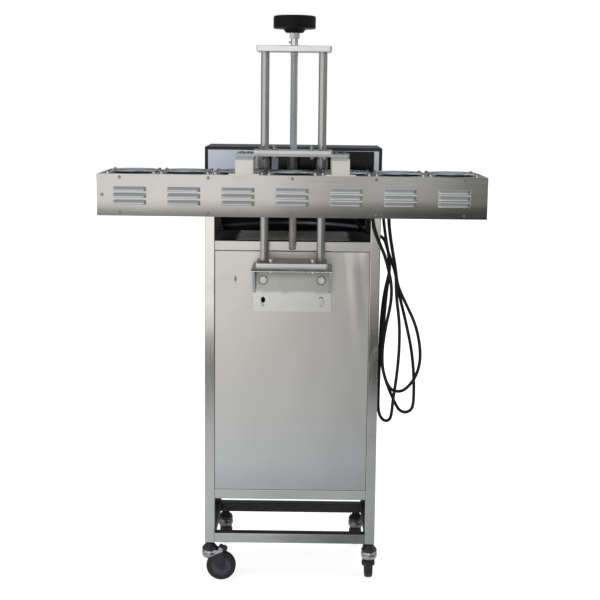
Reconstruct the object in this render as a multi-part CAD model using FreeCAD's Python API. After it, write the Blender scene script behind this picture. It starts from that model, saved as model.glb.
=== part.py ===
import FreeCAD, Part
import os
import math

V = FreeCAD.Vector
os.makedirs("parts", exist_ok=True)

# ---------------------------------------------------------------------------
# Floor-standing induction cap sealer on a slim castor stand.
# Working frame while building: X to the right, Y to the back, Z up, floor at
# Z = 0, front face of the stand tubes at Y = 0.  Everything is moved by
# Y_SHIFT at the end so that the origin is the bottom centre of the bounding box.
# ---------------------------------------------------------------------------

# stand
FRAME_W = 432.0
FRAME_D = 250.0
TUBE = 25.0
WALL = 1.5
Z_BASE = 102.0
Z_MID = 218.0
Z_DECK = 852.0
Z_TOPRAIL = 965.0
POST_TOP = Z_TOPRAIL + TUBE
SHEET = 2.0

# generator unit on top of the stand
UNIT_Y0 = 4.0
UNIT_Y1 = 174.0
UNIT_Z1 = 1107.0
UNIT_SHEET = 1.5

# guide columns and lead screw
COL_X = 68.5
COL_Y = -42.0
COL_R = 10.0
SPIGOT_R = 7.0
SCREW_R = 9.0
JOURNAL_R = 6.0
SCREW_Z0 = 862.0
RUN_FIT = 0.05

# bracket and column plates
BR_W = 192.0
BR_T = 6.0
BR_PROJ = 112.0
BR_ZTOP = 823.0
BR_ZBOT = 703.0
BASE_PLATE_W = 172.0
BASE_PLATE_T = 12.0
TOP_PLATE_W = 176.0
TOP_PLATE_T = 14.0
TOP_PLATE_Z = 1333.0

# handwheel
HW_R = 50.0
HW_Z0 = 1387.0
HW_Z1 = 1417.0
HUB_Z0 = 1378.0
COLLAR_Z0 = 1347.5
COLLAR_Z1 = 1365.0

# head
HEAD_L = 884.0
HEAD_Y0 = -212.0
HEAD_Y1 = -62.0
HEAD_Z0 = 957.0
HEAD_Z1 = 1052.0
HEAD_SHEET = 1.5
FAN_PITCH = 122.5
FAN_SIZE = 119.5
FAN_HOLE = 52.5
FAN_T = 25.0
LOUVRE_L = 75.0
LOUVRE_H = 10.0
LOUVRE_OUT = 4.5
LOUVRE_PITCH = 15.0

# carriage
STRAP_TOP = 1089.5
STRAP_T = 3.0
STRAP_W = 41.0
STRAP_X = 109.5
FOOT_W = 69.0
BRIDGE_W = 266.0
BRIDGE_T = 6.0
CARR_W = 186.0
CARR_T = 8.0
BUSH_R = 17.0
BUSH_L = 40.0

# castors
WHEEL_R = 37.5
WHEEL_W = 20.0
CAST_OFF = 28.5
FRONT_CAST = (203.5, 12.5)
REAR_CAST = (179.0, 237.5)

# mains lead
CORD_D = 8.0

LOUVRE_FRONT = HEAD_Y0 - LOUVRE_OUT
WHEEL_BACK = REAR_CAST[1] + CAST_OFF + WHEEL_R
Y_SHIFT = -(LOUVRE_FRONT + WHEEL_BACK) / 2.0

nodes = {}


def box(x0, x1, y0, y1, z0, z1):
    return Part.makeBox(x1 - x0, y1 - y0, z1 - z0, V(x0, y0, z0))


def cyl(r, h, p, d=(0, 0, 1)):
    return Part.makeCylinder(r, h, V(*p), V(*d))


def zcyl(r, x, y, z0, z1):
    return Part.makeCylinder(r, z1 - z0, V(x, y, z0), V(0, 0, 1))


def prism(points, vec):
    w = Part.makePolygon([V(*p) for p in points] + [V(*points[0])])
    return Part.Face(w).extrude(V(*vec))


def hexa(af, h, p, d=(0, 0, 1), turn=0.0):
    """Hexagonal prism, across flats af, standing on p along d."""
    r = af / math.sqrt(3.0)
    pts = [V(r * math.cos(math.radians(60 * i + turn)), r * math.sin(math.radians(60 * i + turn)), 0) for i in range(6)]
    f = Part.Face(Part.makePolygon(pts + [pts[0]]))
    s = f.extrude(V(0, 0, h))
    rot = FreeCAD.Rotation(V(0, 0, 1), V(*d))
    s.Placement = FreeCAD.Placement(V(*p), rot)
    return s


def revolve(profile, axis_p=(0, 0, 0), axis_d=(0, 0, 1)):
    """profile: list of (r, z); turned about the vertical through the origin."""
    pts = [V(r, 0, z) for r, z in profile]
    f = Part.Face(Part.makePolygon(pts + [pts[0]]))
    return f.revolve(V(0, 0, 0), V(0, 0, 1), 360)


def moved(s, x=0, y=0, z=0):
    t = s.copy()
    t.translate(V(x, y, z))
    return t


def turned_z(s, deg, about=(0, 0, 0)):
    t = s.copy()
    t.rotate(V(*about), V(0, 0, 1), deg)
    return t


def fuse(items):
    a = items[0]
    if len(items) > 1:
        a = a.multiFuse(items[1:])
    return a.removeSplitter()


def cut(a, tools):
    r = a.cut(Part.makeCompound(tools)) if len(tools) > 1 else a.cut(tools[0])
    return r


def round_edges(s, r, test):
    es = [e for e in s.Edges if test(e)]
    try:
        return s.makeFillet(r, es) if es else s
    except Exception:
        return s


def along(axis, length=None):
    def t(e):
        if len(e.Vertexes) != 2:
            return False
        d = e.Vertexes[1].Point - e.Vertexes[0].Point
        v = {"x": abs(d.x), "y": abs(d.y), "z": abs(d.z)}
        o = sum(v[k] for k in v if k != axis)
        return o < 1e-6 and (length is None or abs(v[axis] - length) < 1e-3)
    return t


def put(name, *solids):
    out = []
    for s in solids:
        out.extend(s.Solids)
    for s in out:
        if not s.isValid():
            print("INVALID", name)
    nodes[name] = out


# ---------------------------------------------------------------------------
# stand: square tube frame, all tubes hollow
# ---------------------------------------------------------------------------
HW = FRAME_W / 2.0
IN = HW - TUBE


def tube_z(x, y, z0, z1):
    o = box(x, x + TUBE, y, y + TUBE, z0, z1)
    o = round_edges(o, 2.0, along("z"))
    i = box(x + WALL, x + TUBE - WALL, y + WALL, y + TUBE - WALL, z0 + 4.0, z1 - 2.0)
    return o.cut(i)


def tube_x(x0, x1, y, z):
    o = box(x0, x1, y, y + TUBE, z, z + TUBE)
    o = round_edges(o, 2.0, along("x"))
    return o.cut(box(x0 - 1, x1 + 1, y + WALL, y + TUBE - WALL, z + WALL, z + TUBE - WALL))


def tube_y(y0, y1, x, z):
    o = box(x, x + TUBE, y0, y1, z, z + TUBE)
    o = round_edges(o, 2.0, along("y"))
    return o.cut(box(x + WALL, x + TUBE - WALL, y0 - 1, y1 + 1, z + WALL, z + TUBE - WALL))


put("corner_posts", *[tube_z(x, y, Z_BASE, POST_TOP) for x in (-HW, IN) for y in (0, FRAME_D - TUBE)])
rails = []
for z in (Z_BASE, Z_MID, Z_DECK, Z_TOPRAIL):
    rails += [tube_x(-IN, IN, y, z) for y in (0, FRAME_D - TUBE)]
    rails += [tube_y(TUBE, FRAME_D - TUBE, x, z) for x in (-HW, IN)]
put("frame_rails", *rails)

# skins of the cabinet, flush with the tubes, 0.8 mm shadow gap all round
G = 0.8
PZ0, PZ1 = Z_MID + TUBE + G, Z_DECK - G
BOLT_X, BOLT_Z = 71.5, 782.0
front = box(-IN + G, IN - G, 0, SHEET, PZ0, PZ1)
# shallow pressed oval recess
slot = fuse([cyl(3.0, 3.0, (-140, -2, 777), (0, 1, 0)), cyl(3.0, 3.0, (-140, -2, 787), (0, 1, 0)), box(-143, -137, -2, 1.0, 777, 787)])
front = cut(front, [slot] + [cyl(5.2, 6, (s * BOLT_X, -2, BOLT_Z), (0, 1, 0)) for s in (-1, 1)])
put("front_panel", front)
put("side_panels", *[box(x, x + SHEET, TUBE + G, FRAME_D - TUBE - G, PZ0, PZ1) for x in (-HW, HW - SHEET)])
rear = box(-IN + G, IN - G, FRAME_D - SHEET, FRAME_D, PZ0, PZ1)
vents = []
for k in range(6):
    for xc in (-90, 90):
        vents.append(box(xc - 55, xc + 55, FRAME_D - 5, FRAME_D + 2, 700 + 16 * k, 705 + 16 * k))
rear = cut(rear, vents)
upper = box(-IN + G, IN - G, FRAME_D - SHEET, FRAME_D, Z_DECK + TUBE + G, Z_TOPRAIL - G)
put("rear_panel", rear, upper)
put("deck_plate", box(-IN, IN, TUBE, FRAME_D - TUBE, Z_DECK + TUBE - SHEET, Z_DECK + TUBE))
SHELF_HOLE = (150.0, 110.0)
shelf = box(-IN, IN, TUBE, FRAME_D - TUBE, POST_TOP - SHEET, POST_TOP)
put("shelf_plates", shelf, box(-IN, IN, TUBE, FRAME_D - TUBE, Z_MID + TUBE - SHEET, Z_MID + TUBE))

# ---------------------------------------------------------------------------
# generator unit with its control panel
# ---------------------------------------------------------------------------
UZ0 = POST_TOP
case = box(-HW, HW, UNIT_Y0, UNIT_Y1, UZ0, UNIT_Z1)
case = round_edges(case, 3.0, lambda e: along("y")(e) or (along("x")(e) and e.CenterOfMass.z > UNIT_Z1 - 1 and e.CenterOfMass.y > UNIT_Y1 - 1))
case = case.cut(box(-HW + UNIT_SHEET, HW - UNIT_SHEET, UNIT_Y0 - 1, UNIT_Y1 - UNIT_SHEET, UZ0 + UNIT_SHEET, UNIT_Z1 - UNIT_SHEET))
# turned-in front lip carrying the panel
lip = box(-HW + UNIT_SHEET, HW - UNIT_SHEET, UNIT_Y0 + 4.0, UNIT_Y0 + 5.5, UZ0 + UNIT_SHEET, UNIT_Z1 - UNIT_SHEET)
lip = lip.cut(box(-HW + 14, HW - 14, 0, 30, UZ0 + 14, UNIT_Z1 - 14))
case = fuse([case, lip])
SW_Y, SW_Z = 120.0, 1052.0
tools = [box(HW - 4, HW + 4, SW_Y - 11.5, SW_Y + 11.5, SW_Z - 7.5, SW_Z + 7.5)]
for k in range(8):
    for s in (-1, 1):
        tools.append(box(s * HW - 4, s * HW + 4, 40 + 9 * k - (0 if s < 0 else 10), 44 + 9 * k - (0 if s < 0 else 10), 1040, 1085))
for k in range(7):
    tools.append(box(-150, -60, UNIT_Y1 - 5, UNIT_Y1 + 5, 1030 + 9 * k, 1034 + 9 * k))
case = cut(case, tools)
put("unit_case", case)

PX = HW - 4.0
pan = box(-PX, PX, UNIT_Y0 + 1.0, UNIT_Y0 + 4.0, UZ0 + 4.0, UNIT_Z1 - 4.0)
BTN = {"start_button": (-150.0, 1020.0), "stop_button": (-105.0, 1020.0)}
BTN_R = 9.0
pan = cut(pan, [cyl(BTN_R + 0.4, 10, (x, 0, z), (0, 1, 0)) for x, z in BTN.values()])
put("control_panel", pan)
put("display_window", box(-37.0, 196.0, UNIT_Y0 - 0.5, UNIT_Y0 + 1.0, 1012.0, 1098.0))
for n, (x, z) in BTN.items():
    b = cyl(BTN_R, 9.0, (x, UNIT_Y0 - 2.5, z), (0, 1, 0))
    b = round_edges(b, 1.0, lambda e: abs(e.CenterOfMass.y - (UNIT_Y0 - 2.5)) < 1e-6)
    put(n, b)
# rocker switch, drawn in its off position
rock = prism([(HW - 5, SW_Y - 10.5, SW_Z - 6.8), (HW + 3.5, SW_Y - 10.5, SW_Z - 6.8), (HW + 2.2, SW_Y, SW_Z - 6.8), (HW + 3.5, SW_Y + 10.5, SW_Z - 6.8), (HW - 5, SW_Y + 10.5, SW_Z - 6.8)], (0, 0, 13.6))
rock.rotate(V(HW - 1.5, SW_Y, SW_Z), V(0, 0, 1), -7.0)
rock = fuse([rock, zcyl(1.2, HW - 1.5, SW_Y, SW_Z - 7.3, SW_Z + 7.3)])
put("power_switch", rock)

# inverter board with heat sink and resonance capacitors on stand-offs
BZ = UZ0 + UNIT_SHEET
brd = [box(-170, 110, 40, 150, BZ + 8, BZ + 10)]
for x in (-160, 100):
    for y in (48, 142):
        brd.append(zcyl(4, x, y, BZ, BZ + 8.5))
sink = box(-150, 10, 60, 130, BZ + 10, BZ + 20)
fins = [box(-150 + 10 * k, -147 + 10 * k, 60, 130, BZ + 19, BZ + 62) for k in range(16)] + [box(7, 10, 60, 130, BZ + 19, BZ + 62)]
caps = [zcyl(15, 60, 70 + 36 * k, BZ + 10, BZ + 55) for k in range(3)]
put("inverter_board", fuse(brd + [sink] + fins + caps))

# ---------------------------------------------------------------------------
# bracket, columns and their plates
# ---------------------------------------------------------------------------
SCR_X, SCR_Y = 50.0, -76.0
br = [box(-BR_W / 2, BR_W / 2, -BR_PROJ, 0, BR_ZTOP - BR_T, BR_ZTOP), box(-BR_W / 2, BR_W / 2, -BR_T, 0, BR_ZBOT, BR_ZTOP)]
for s in (-1, 1):
    x = s * BR_W / 2 - (BR_T if s > 0 else 0)
    br.append(prism([(x, -BR_T + 1, BR_ZTOP - BR_T + 1), (x, -78, BR_ZTOP - BR_T + 1), (x, -78, BR_ZTOP - BR_T - 4), (x, -BR_T - 6, 751), (x, -BR_T + 1, 751)], (BR_T, 0, 0)))
bracket = fuse(br)
holes = [cyl(5.2, 20, (s * BOLT_X, -10, BOLT_Z), (0, 1, 0)) for s in (-1, 1)]
for s in (-1, 1):
    holes += [cyl(5.5, 20, (s * BOLT_X, -10, 721), (0, 1, 0)), cyl(5.5, 20, (s * BOLT_X, -10, 736), (0, 1, 0)), box(s * BOLT_X - 5.5, s * BOLT_X + 5.5, -10, 10, 721, 736)]
    holes.append(zcyl(4.2, s * SCR_X, SCR_Y, 800, 830))
bracket = cut(bracket, holes)
bracket = round_edges(bracket, 4.0, lambda e: along("x")(e) and abs(e.CenterOfMass.y) < 1e-3 and abs(e.CenterOfMass.z - BR_ZTOP) < 1e-3)
put("mounting_bracket", bracket)

BPZ1 = BR_ZTOP + BASE_PLATE_T
bp = box(-BASE_PLATE_W / 2, BASE_PLATE_W / 2, -94, -8, BR_ZTOP, BPZ1)
bp = round_edges(bp, 4.0, along("z"))
bp = cut(bp, [zcyl(SPIGOT_R + RUN_FIT, s * COL_X, COL_Y, 800, 850) for s in (-1, 1)] + [zcyl(4.2, s * SCR_X, SCR_Y, 800, 850) for s in (-1, 1)])
bp = bp.makeChamfer(1.0, [e for e in bp.Edges if abs(e.CenterOfMass.z - BPZ1) < 1e-6 and e.Length > 20])
put("column_base_plate", bp)

colp = [(0, BR_ZTOP), (SPIGOT_R, BR_ZTOP), (SPIGOT_R, BPZ1), (COL_R, BPZ1), (COL_R, TOP_PLATE_Z), (SPIGOT_R, TOP_PLATE_Z), (SPIGOT_R, TOP_PLATE_Z + TOP_PLATE_T), (0, TOP_PLATE_Z + TOP_PLATE_T)]
col = revolve(colp)
put("guide_columns", moved(col, -COL_X, COL_Y), moved(col, COL_X, COL_Y))

tp = box(-TOP_PLATE_W / 2, TOP_PLATE_W / 2, COL_Y - 40, COL_Y + 40, TOP_PLATE_Z, TOP_PLATE_Z + TOP_PLATE_T)
tp = round_edges(tp, 5.0, along("z"))
tp = cut(tp, [zcyl(SPIGOT_R + RUN_FIT, s * COL_X, COL_Y, 1300, 1400) for s in (-1, 1)] + [zcyl(JOURNAL_R + RUN_FIT, 0, COL_Y, 1300, 1400)])
tp = tp.makeChamfer(1.0, [e for e in tp.Edges if e.Length > 40 and abs(abs(e.CenterOfMass.z - TOP_PLATE_Z - TOP_PLATE_T / 2) - TOP_PLATE_T / 2) < 1e-6])
put("column_top_plate", tp)


def socket_head(r, h, hexr, p, d=(0, 0, 1), shank=None):
    """Cap screw head standing on p along d, with a hexagon socket and an optional shank the other way."""
    hd = cyl(r, h, (0, 0, 0))
    hd = round_edges(hd, 0.8, lambda e: abs(e.CenterOfMass.z - h) < 1e-6)
    hd = hd.cut(hexa(hexr, h, (0, 0, h * 0.45)))
    if shank:
        hd = hd.fuse(cyl(shank[0], shank[1] + 0.5, (0, 0, -shank[1])))
    hd.Placement = FreeCAD.Placement(V(*p), FreeCAD.Rotation(V(0, 0, 1), V(*d)))
    return hd


def hex_bolt(af, h, p, d=(0, 0, 1), shank=None, turn=0.0, washer=0.0):
    b = [hexa(af, h, (0, 0, washer), turn=turn)]
    if washer:
        b.append(cyl(af * 0.78, washer + 0.2, (0, 0, 0)))
    if shank:
        b.append(cyl(shank[0], shank[1] + 0.5, (0, 0, -shank[1])))
    b = b[0].multiFuse(b[1:]) if len(b) > 1 else b[0]
    b = b.common(cyl(af * 0.56, 200, (0, 0, -100)).fuse(cyl(af * 0.8, washer + 0.001, (0, 0, 0)))) if washer else b.common(cyl(af * 0.56, 200, (0, 0, -100)))
    b.Placement = FreeCAD.Placement(V(*p), FreeCAD.Rotation(V(0, 0, 1), V(*d)))
    return b


fix = []
for s in (-1, 1):
    fix.append(hex_bolt(16, 6.5, (s * BOLT_X, -BR_T, BOLT_Z), (0, -1, 0), (5.0, 16.0), 15))
    fix.append(hexa(16, 6.0, (s * BOLT_X, SHEET, BOLT_Z), (0, 1, 0), 15).cut(cyl(5.0, 30, (s * BOLT_X, -5, BOLT_Z), (0, 1, 0))))
    fix.append(socket_head(6.5, 8.0, 6.0, (s * SCR_X, SCR_Y, BPZ1), (0, 0, 1), (4.0, BASE_PLATE_T + BR_T + 8)))
    fix.append(hexa(13, 6.0, (s * SCR_X, SCR_Y, BR_ZTOP - BR_T), (0, 0, -1)).cut(zcyl(4.0, s * SCR_X, SCR_Y, 700, 900)))
# a bolt with a washer in the right slot of the bracket
fix.append(hex_bolt(13, 5.0, (BOLT_X, -BR_T, 727), (0, -1, 0), (4.0, BR_T - 0.3), 20, 1.6))
put("column_bolts", *fix)

# ---------------------------------------------------------------------------
# spindle: lead screw, collar and nut, handwheel (turns as one)
# ---------------------------------------------------------------------------
scr = revolve([(0, SCREW_Z0), (SCREW_R - 2.0, SCREW_Z0), (SCREW_R, SCREW_Z0 + 2.0), (SCREW_R, TOP_PLATE_Z - 0.5), (JOURNAL_R, TOP_PLATE_Z - 0.5), (JOURNAL_R, HUB_Z0 + 20), (0, HUB_Z0 + 20)])
put("lead_screw", moved(scr, 0, COL_Y))
collar = revolve([(JOURNAL_R, COLLAR_Z0), (8.5, COLLAR_Z0), (8.5, COLLAR_Z1), (JOURNAL_R, COLLAR_Z1)])
setscrew = cyl(2.5, 6.0, (-7.5, 0, 1356), (-1, 0, 0))
collar = collar.fuse(setscrew)
nut = hexa(22, HUB_Z0 - COLLAR_Z1, (0, 0, COLLAR_Z1), turn=20).cut(cyl(JOURNAL_R, 60, (0, 0, 1350)))
nut = nut.common(revolve([(0, COLLAR_Z1), (11.4, COLLAR_Z1), (12.9, COLLAR_Z1 + 1.5), (12.9, HUB_Z0 - 1.5), (11.4, HUB_Z0), (0, HUB_Z0)]))
put("spindle_collar", moved(collar, 0, COL_Y), moved(nut, 0, COL_Y))
hwp = [(JOURNAL_R, HUB_Z0), (20, HUB_Z0), (21.5, HUB_Z0 + 1), (27, HW_Z0 - 0.4), (29, HW_Z0 + 0.4), (47.5, HW_Z0 + 0.4), (49.3, HW_Z0 + 1), (50, HW_Z0 + 2.5), (50, HW_Z1 - 4.0), (49.2, HW_Z1 - 1.4), (47.2, HW_Z1), (42, HW_Z1), (39, HW_Z1 - 1.2), (37.3, HW_Z1 - 4.5), (36, HW_Z1 - 11), (32.5, HW_Z1 - 14), (20, HW_Z1 - 14.5), (17, HW_Z1 - 12), (15.5, HW_Z1 - 8), (13, HW_Z1 - 6.5), (0, HW_Z1 - 6.5), (0, HUB_Z0 + 20), (JOURNAL_R, HUB_Z0 + 20)]
put("handwheel", moved(revolve(hwp), 0, COL_Y))

# ---------------------------------------------------------------------------
# carriage
# ---------------------------------------------------------------------------
BRZ1 = STRAP_TOP + BRIDGE_T
CAZ1 = BRZ1 + CARR_T
HEXB = [(s * 74.5, -80.0) for s in (-1, 1)]
CAPB = [(s * 44.5, -64.0) for s in (-1, 1)]
STRB = [(s * x, -88.0) for s in (-1, 1) for x in (102.0, 121.0)]


def through(plist, r, z0=1050, z1=1130):
    return [zcyl(r, x, y, z0, z1) for x, y in plist]


colh = [zcyl(COL_R + 0.7, s * COL_X, COL_Y, 1050, 1130) for s in (-1, 1)] + [zcyl(SCREW_R + 1.0, 0, COL_Y, 1050, 1130)]
cp = box(-CARR_W / 2, CARR_W / 2, -100, -10, BRZ1, CAZ1)
cp = round_edges(cp, 5.0, along("z"))
cp = cut(cp, colh + through(HEXB, 4.2) + through(CAPB, 4.2))
cp = cp.makeChamfer(0.8, [e for e in cp.Edges if abs(e.CenterOfMass.z - CAZ1) < 1e-6 and e.Length > 30])
put("carriage_plate", cp)
bg = box(-BRIDGE_W / 2, BRIDGE_W / 2, -105, -18, STRAP_TOP, BRZ1)
bg = round_edges(bg, 4.0, along("z"))
bg = cut(bg, colh + through(HEXB, 4.2) + through(CAPB, 4.2) + through(STRB, 3.2))
put("bridge_plate", bg)

bush = revolve([(COL_R + RUN_FIT, STRAP_TOP - BUSH_L), (BUSH_R - 1.5, STRAP_TOP - BUSH_L), (BUSH_R, STRAP_TOP - BUSH_L + 1.5), (BUSH_R, STRAP_TOP - 31), (BUSH_R - 1.2, STRAP_TOP - 30.4), (BUSH_R - 1.2, STRAP_TOP - 28.6), (BUSH_R, STRAP_TOP - 28), (BUSH_R, STRAP_TOP), (COL_R + RUN_FIT, STRAP_TOP)])
put("linear_bushings", moved(bush, -COL_X, COL_Y), moved(bush, COL_X, COL_Y))
nutp = [(SCREW_R + RUN_FIT, STRAP_TOP - 34), (13, STRAP_TOP - 34), (14, STRAP_TOP - 33), (14, STRAP_TOP - 8), (18, STRAP_TOP - 8), (18, STRAP_TOP), (SCREW_R + RUN_FIT, STRAP_TOP)]
put("screw_nut", moved(revolve(nutp), 0, COL_Y))


def strap(xc):
    x0 = xc - STRAP_W / 2
    yf, yb = -201.0, -73.0
    t = STRAP_T
    o = prism([(x0, yf, HEAD_Z1), (x0, yb, HEAD_Z1), (x0, yb, STRAP_TOP), (x0, yf, STRAP_TOP)], (STRAP_W, 0, 0))
    o = round_edges(o, 6.0, lambda e: along("x")(e) and e.CenterOfMass.z > STRAP_TOP - 1)
    i = prism([(x0, yf + t, HEAD_Z1 - 5), (x0, yb - t, HEAD_Z1 - 5), (x0, yb - t, STRAP_TOP - t), (x0, yf + t, STRAP_TOP - t)], (STRAP_W, 0, 0))
    i = round_edges(i, 3.0, lambda e: along("x")(e) and e.CenterOfMass.z > STRAP_TOP - t - 1)
    s = o.cut(i)
    feet = [box(xc - FOOT_W / 2, xc + FOOT_W / 2, -211.0, yf + t, HEAD_Z1, HEAD_Z1 + 3.0), box(xc - FOOT_W / 2, xc + FOOT_W / 2, yb - t, -63.0, HEAD_Z1, HEAD_Z1 + 3.0)]
    s = fuse([s] + feet)
    sg = 1 if xc > 0 else -1
    return cut(s, [zcyl(3.2, x, y, 1070, 1100) for x, y in STRB if x * sg > 0])


put("hanger_straps", strap(-STRAP_X), strap(STRAP_X))
cb = []
for x, y in HEXB:
    cb.append(hex_bolt(13, 7.5, (x, y, CAZ1), (0, 0, 1), (4.0, CARR_T + BRIDGE_T + 9), 10, 1.6))
    cb.append(hexa(13, 6.0, (x, y, STRAP_TOP), (0, 0, -1), 10).cut(zcyl(4.0, x, y, 1000, 1200)))
for x, y in CAPB:
    cb.append(socket_head(6.0, 12.0, 5.5, (x, y, CAZ1), (0, 0, 1), (4.0, CARR_T + BRIDGE_T + 8)))
    cb.append(hexa(13, 6.0, (x, y, STRAP_TOP), (0, 0, -1), 0).cut(zcyl(4.0, x, y, 1000, 1200)))
for x, y in STRB:
    cb.append(hex_bolt(10, 4.5, (x, y, BRZ1), (0, 0, 1), (3.0, BRIDGE_T + STRAP_T + 6), 5))
    cb.append(hexa(10, 4.5, (x, y, STRAP_TOP - STRAP_T), (0, 0, -1), 5).cut(zcyl(3.0, x, y, 1000, 1200)))
for s in (-1, 1):
    for dx in (-25.5, 25.5):
        for y in (-206.0, -68.0):
            cb.append(hex_bolt(8, 4.0, (s * STRAP_X + dx, y, HEAD_Z1 + 3.0), (0, 0, 1), None, 8))
put("carriage_bolts", *cb)

# ---------------------------------------------------------------------------
# head: folded cover, louvred front, slotted back, insulating sole, coil
# ---------------------------------------------------------------------------
HL = HEAD_L / 2.0
T = HEAD_SHEET
FAN_X = [FAN_PITCH * (k - 3) for k in range(7)]
FAN_Y = (HEAD_Y0 + HEAD_Y1) / 2.0

cover = fuse([box(-HL, HL, HEAD_Y0 + T, HEAD_Y1 - T, HEAD_Z1 - T, HEAD_Z1), box(-HL, -HL + T, HEAD_Y0 + T, HEAD_Y1 - T, HEAD_Z0, HEAD_Z1), box(HL - T, HL, HEAD_Y0 + T, HEAD_Y1 - T, HEAD_Z0, HEAD_Z1)])
cover = round_edges(cover, 1.4, lambda e: along("y")(e) and e.CenterOfMass.z > HEAD_Z1 - 0.1 and abs(e.CenterOfMass.x) > HL - 0.1)
cover = cut(cover, [zcyl(56.5, x, FAN_Y, HEAD_Z1 - 10, HEAD_Z1 + 10) for x in FAN_X])
put("head_cover", cover)

ROWS = [HEAD_Z0 + 31.5 + LOUVRE_PITCH * k for k in range(3)]


def louvre_tools(xc, zc):
    """A hooded vent, open downwards: the outer hood, and the space cut under it and through the sheet."""
    zt, zb = zc + LOUVRE_H / 2, zc - LOUVRE_H / 2
    y = HEAD_Y0

    def hood(d, out, top):
        a = V(0, y + 0.6, top)
        m = V(0, y - out * 0.78, zb + (top - zb) * 0.42)
        b = V(0, y - out, zb)
        c = V(0, y + 0.6, zb)
        w = Part.Wire([Part.Arc(a, m, b).toShape(), Part.LineSegment(b, c).toShape(), Part.LineSegment(c, a).toShape()])
        s = Part.Face(w).extrude(V(LOUVRE_L - 2 * d, 0, 0))
        s.translate(V(xc - LOUVRE_L / 2 + d, 0, 0))
        return s
    o = hood(0, LOUVRE_OUT, zt)
    # ends drawn down to the sheet
    for s in (-1, 1):
        xe = xc + s * LOUVRE_L / 2
        o = o.cut(prism([(xe + s * 0.1, y - LOUVRE_OUT - 1, zb - 1), (xe + s * 0.1, y + 0.0, zb - 1), (xe - s * 5.0, y - LOUVRE_OUT - 1, zb - 1)], (0, 0, LOUVRE_H + 2)))
    i = hood(1.2, LOUVRE_OUT - 1.1, zt - 1.6)
    i.translate(V(0, 0, -0.01))
    for s in (-1, 1):
        xe = xc + s * (LOUVRE_L / 2 - 2.0)
        i = i.cut(prism([(xe + s * 2.1, y - LOUVRE_OUT - 1, zb - 2), (xe + s * 2.1, y + 2.0, zb - 2), (xe, y + 2.0, zb - 2), (xe - s * 5.0, y - LOUVRE_OUT - 1, zb - 2)], (0, 0, LOUVRE_H + 4)))
    slotb = box(xc - LOUVRE_L / 2 + 2.2, xc + LOUVRE_L / 2 - 2.2, y - 0.2, y + T + 1, zb, zt - 2.6)
    return o, i, slotb


fp = box(-HL, HL, HEAD_Y0, HEAD_Y0 + T, HEAD_Z0, HEAD_Z1)
hoods, hollows = [], []
for x in FAN_X:
    for z in ROWS:
        o, i, sb = louvre_tools(x, z)
        hoods.append(o)
        hollows += [i, sb]
fp = fp.multiFuse(hoods).removeSplitter()
fp = fp.cut(Part.makeCompound([h for h in hollows[0::2]]))
fp = fp.cut(Part.makeCompound([h for h in hollows[1::2]]))
put("head_front_panel", fp)

rp = box(-HL, HL, HEAD_Y1 - T, HEAD_Y1, HEAD_Z0, HEAD_Z1)
rp = cut(rp, [box(x - 36, x + 36, HEAD_Y1 - 5, HEAD_Y1 + 5, z - 2.5, z + 2.5) for x in FAN_X for z in ROWS])
put("head_rear_panel", rp)
put("head_base_plate", box(-HL + T, HL - T, HEAD_Y0 + T, HEAD_Y1 - T, HEAD_Z0, HEAD_Z0 + 6.0))


def stadium(l, w, z0, z1, yc):
    r = w / 2.0
    return fuse([box(-l / 2 + r, l / 2 - r, yc - r, yc + r, z0, z1), zcyl(r, -l / 2 + r, yc, z0, z1), zcyl(r, l / 2 - r, yc, z0, z1)])


CZ = HEAD_Z0 + 6.0
put("induction_coil", stadium(830, 104, CZ, CZ + 9, FAN_Y).cut(stadium(770, 44, CZ - 1, CZ + 10, FAN_Y)))
put("ferrite_bars", *[box(x - 8, x + 8, FAN_Y - 54, FAN_Y + 54, CZ + 9, CZ + 21) for x in [-385 + 70 * k for k in range(12)]])

# seven axial fans under the cover, wire guards above it
FZ1 = HEAD_Z1 - T
FZ0 = FZ1 - FAN_T


def fan_frame(x):
    h = FAN_SIZE / 2.0
    b = box(x - h, x + h, FAN_Y - h, FAN_Y + h, FZ0, FZ1)
    b = round_edges(b, 4.0, along("z"))
    b = b.cut(zcyl(57.0, x, FAN_Y, FZ0 - 1, FZ1 + 1))
    b = b.cut(Part.makeCompound([zcyl(2.2, x + sx * FAN_HOLE, FAN_Y + sy * FAN_HOLE, FZ0 - 1, FZ1 + 1) for sx in (-1, 1) for sy in (-1, 1)]))
    sp = [zcyl(21.0, x, FAN_Y, FZ0, FZ0 + 3)]
    for a in (20, 110, 200, 290):
        arm = box(x + 15, x + 58.5, FAN_Y - 2, FAN_Y + 2, FZ0, FZ0 + 3)
        sp.append(turned_z(arm, a, (x, FAN_Y, 0)))
    return fuse([b] + sp)


put("fan_frames", *[fan_frame(x) for x in FAN_X])


def rotor(x, start):
    hub = revolve([(0, FZ0 + 4), (20.5, FZ0 + 4), (20.5, FZ0 + 21), (19, FZ0 + 22.5), (0, FZ0 + 22.5)])
    parts = [hub]
    for k in range(7):
        bl = []
        for r, tw in ((18.0, 52.0), (54.5, 28.0)):
            half = 8.0 / math.tan(math.radians(tw)) if False else 8.5
            ang = math.radians(tw)
            chord = 15.0 if r < 30 else 26.0
            dx, dz = chord / 2 * math.cos(ang), min(8.0, chord / 2 * math.sin(ang))
            zc = FZ0 + 13.0
            n = V(0, -math.sin(ang), math.cos(ang)) * 0.7
            p = [V(r, -dx, zc - dz), V(r, dx, zc + dz)]
            bl.append(Part.makePolygon([p[0] - n, p[1] - n, p[1] + n, p[0] + n, p[0] - n]))
        s = Part.makeLoft(bl, True, True)
        s = s.common(zcyl(54.5, 0, 0, FZ0 + 4, FZ0 + 22))
        parts.append(turned_z(s, start + 360.0 / 7 * k))
    return moved(fuse(parts), x, FAN_Y)


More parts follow.
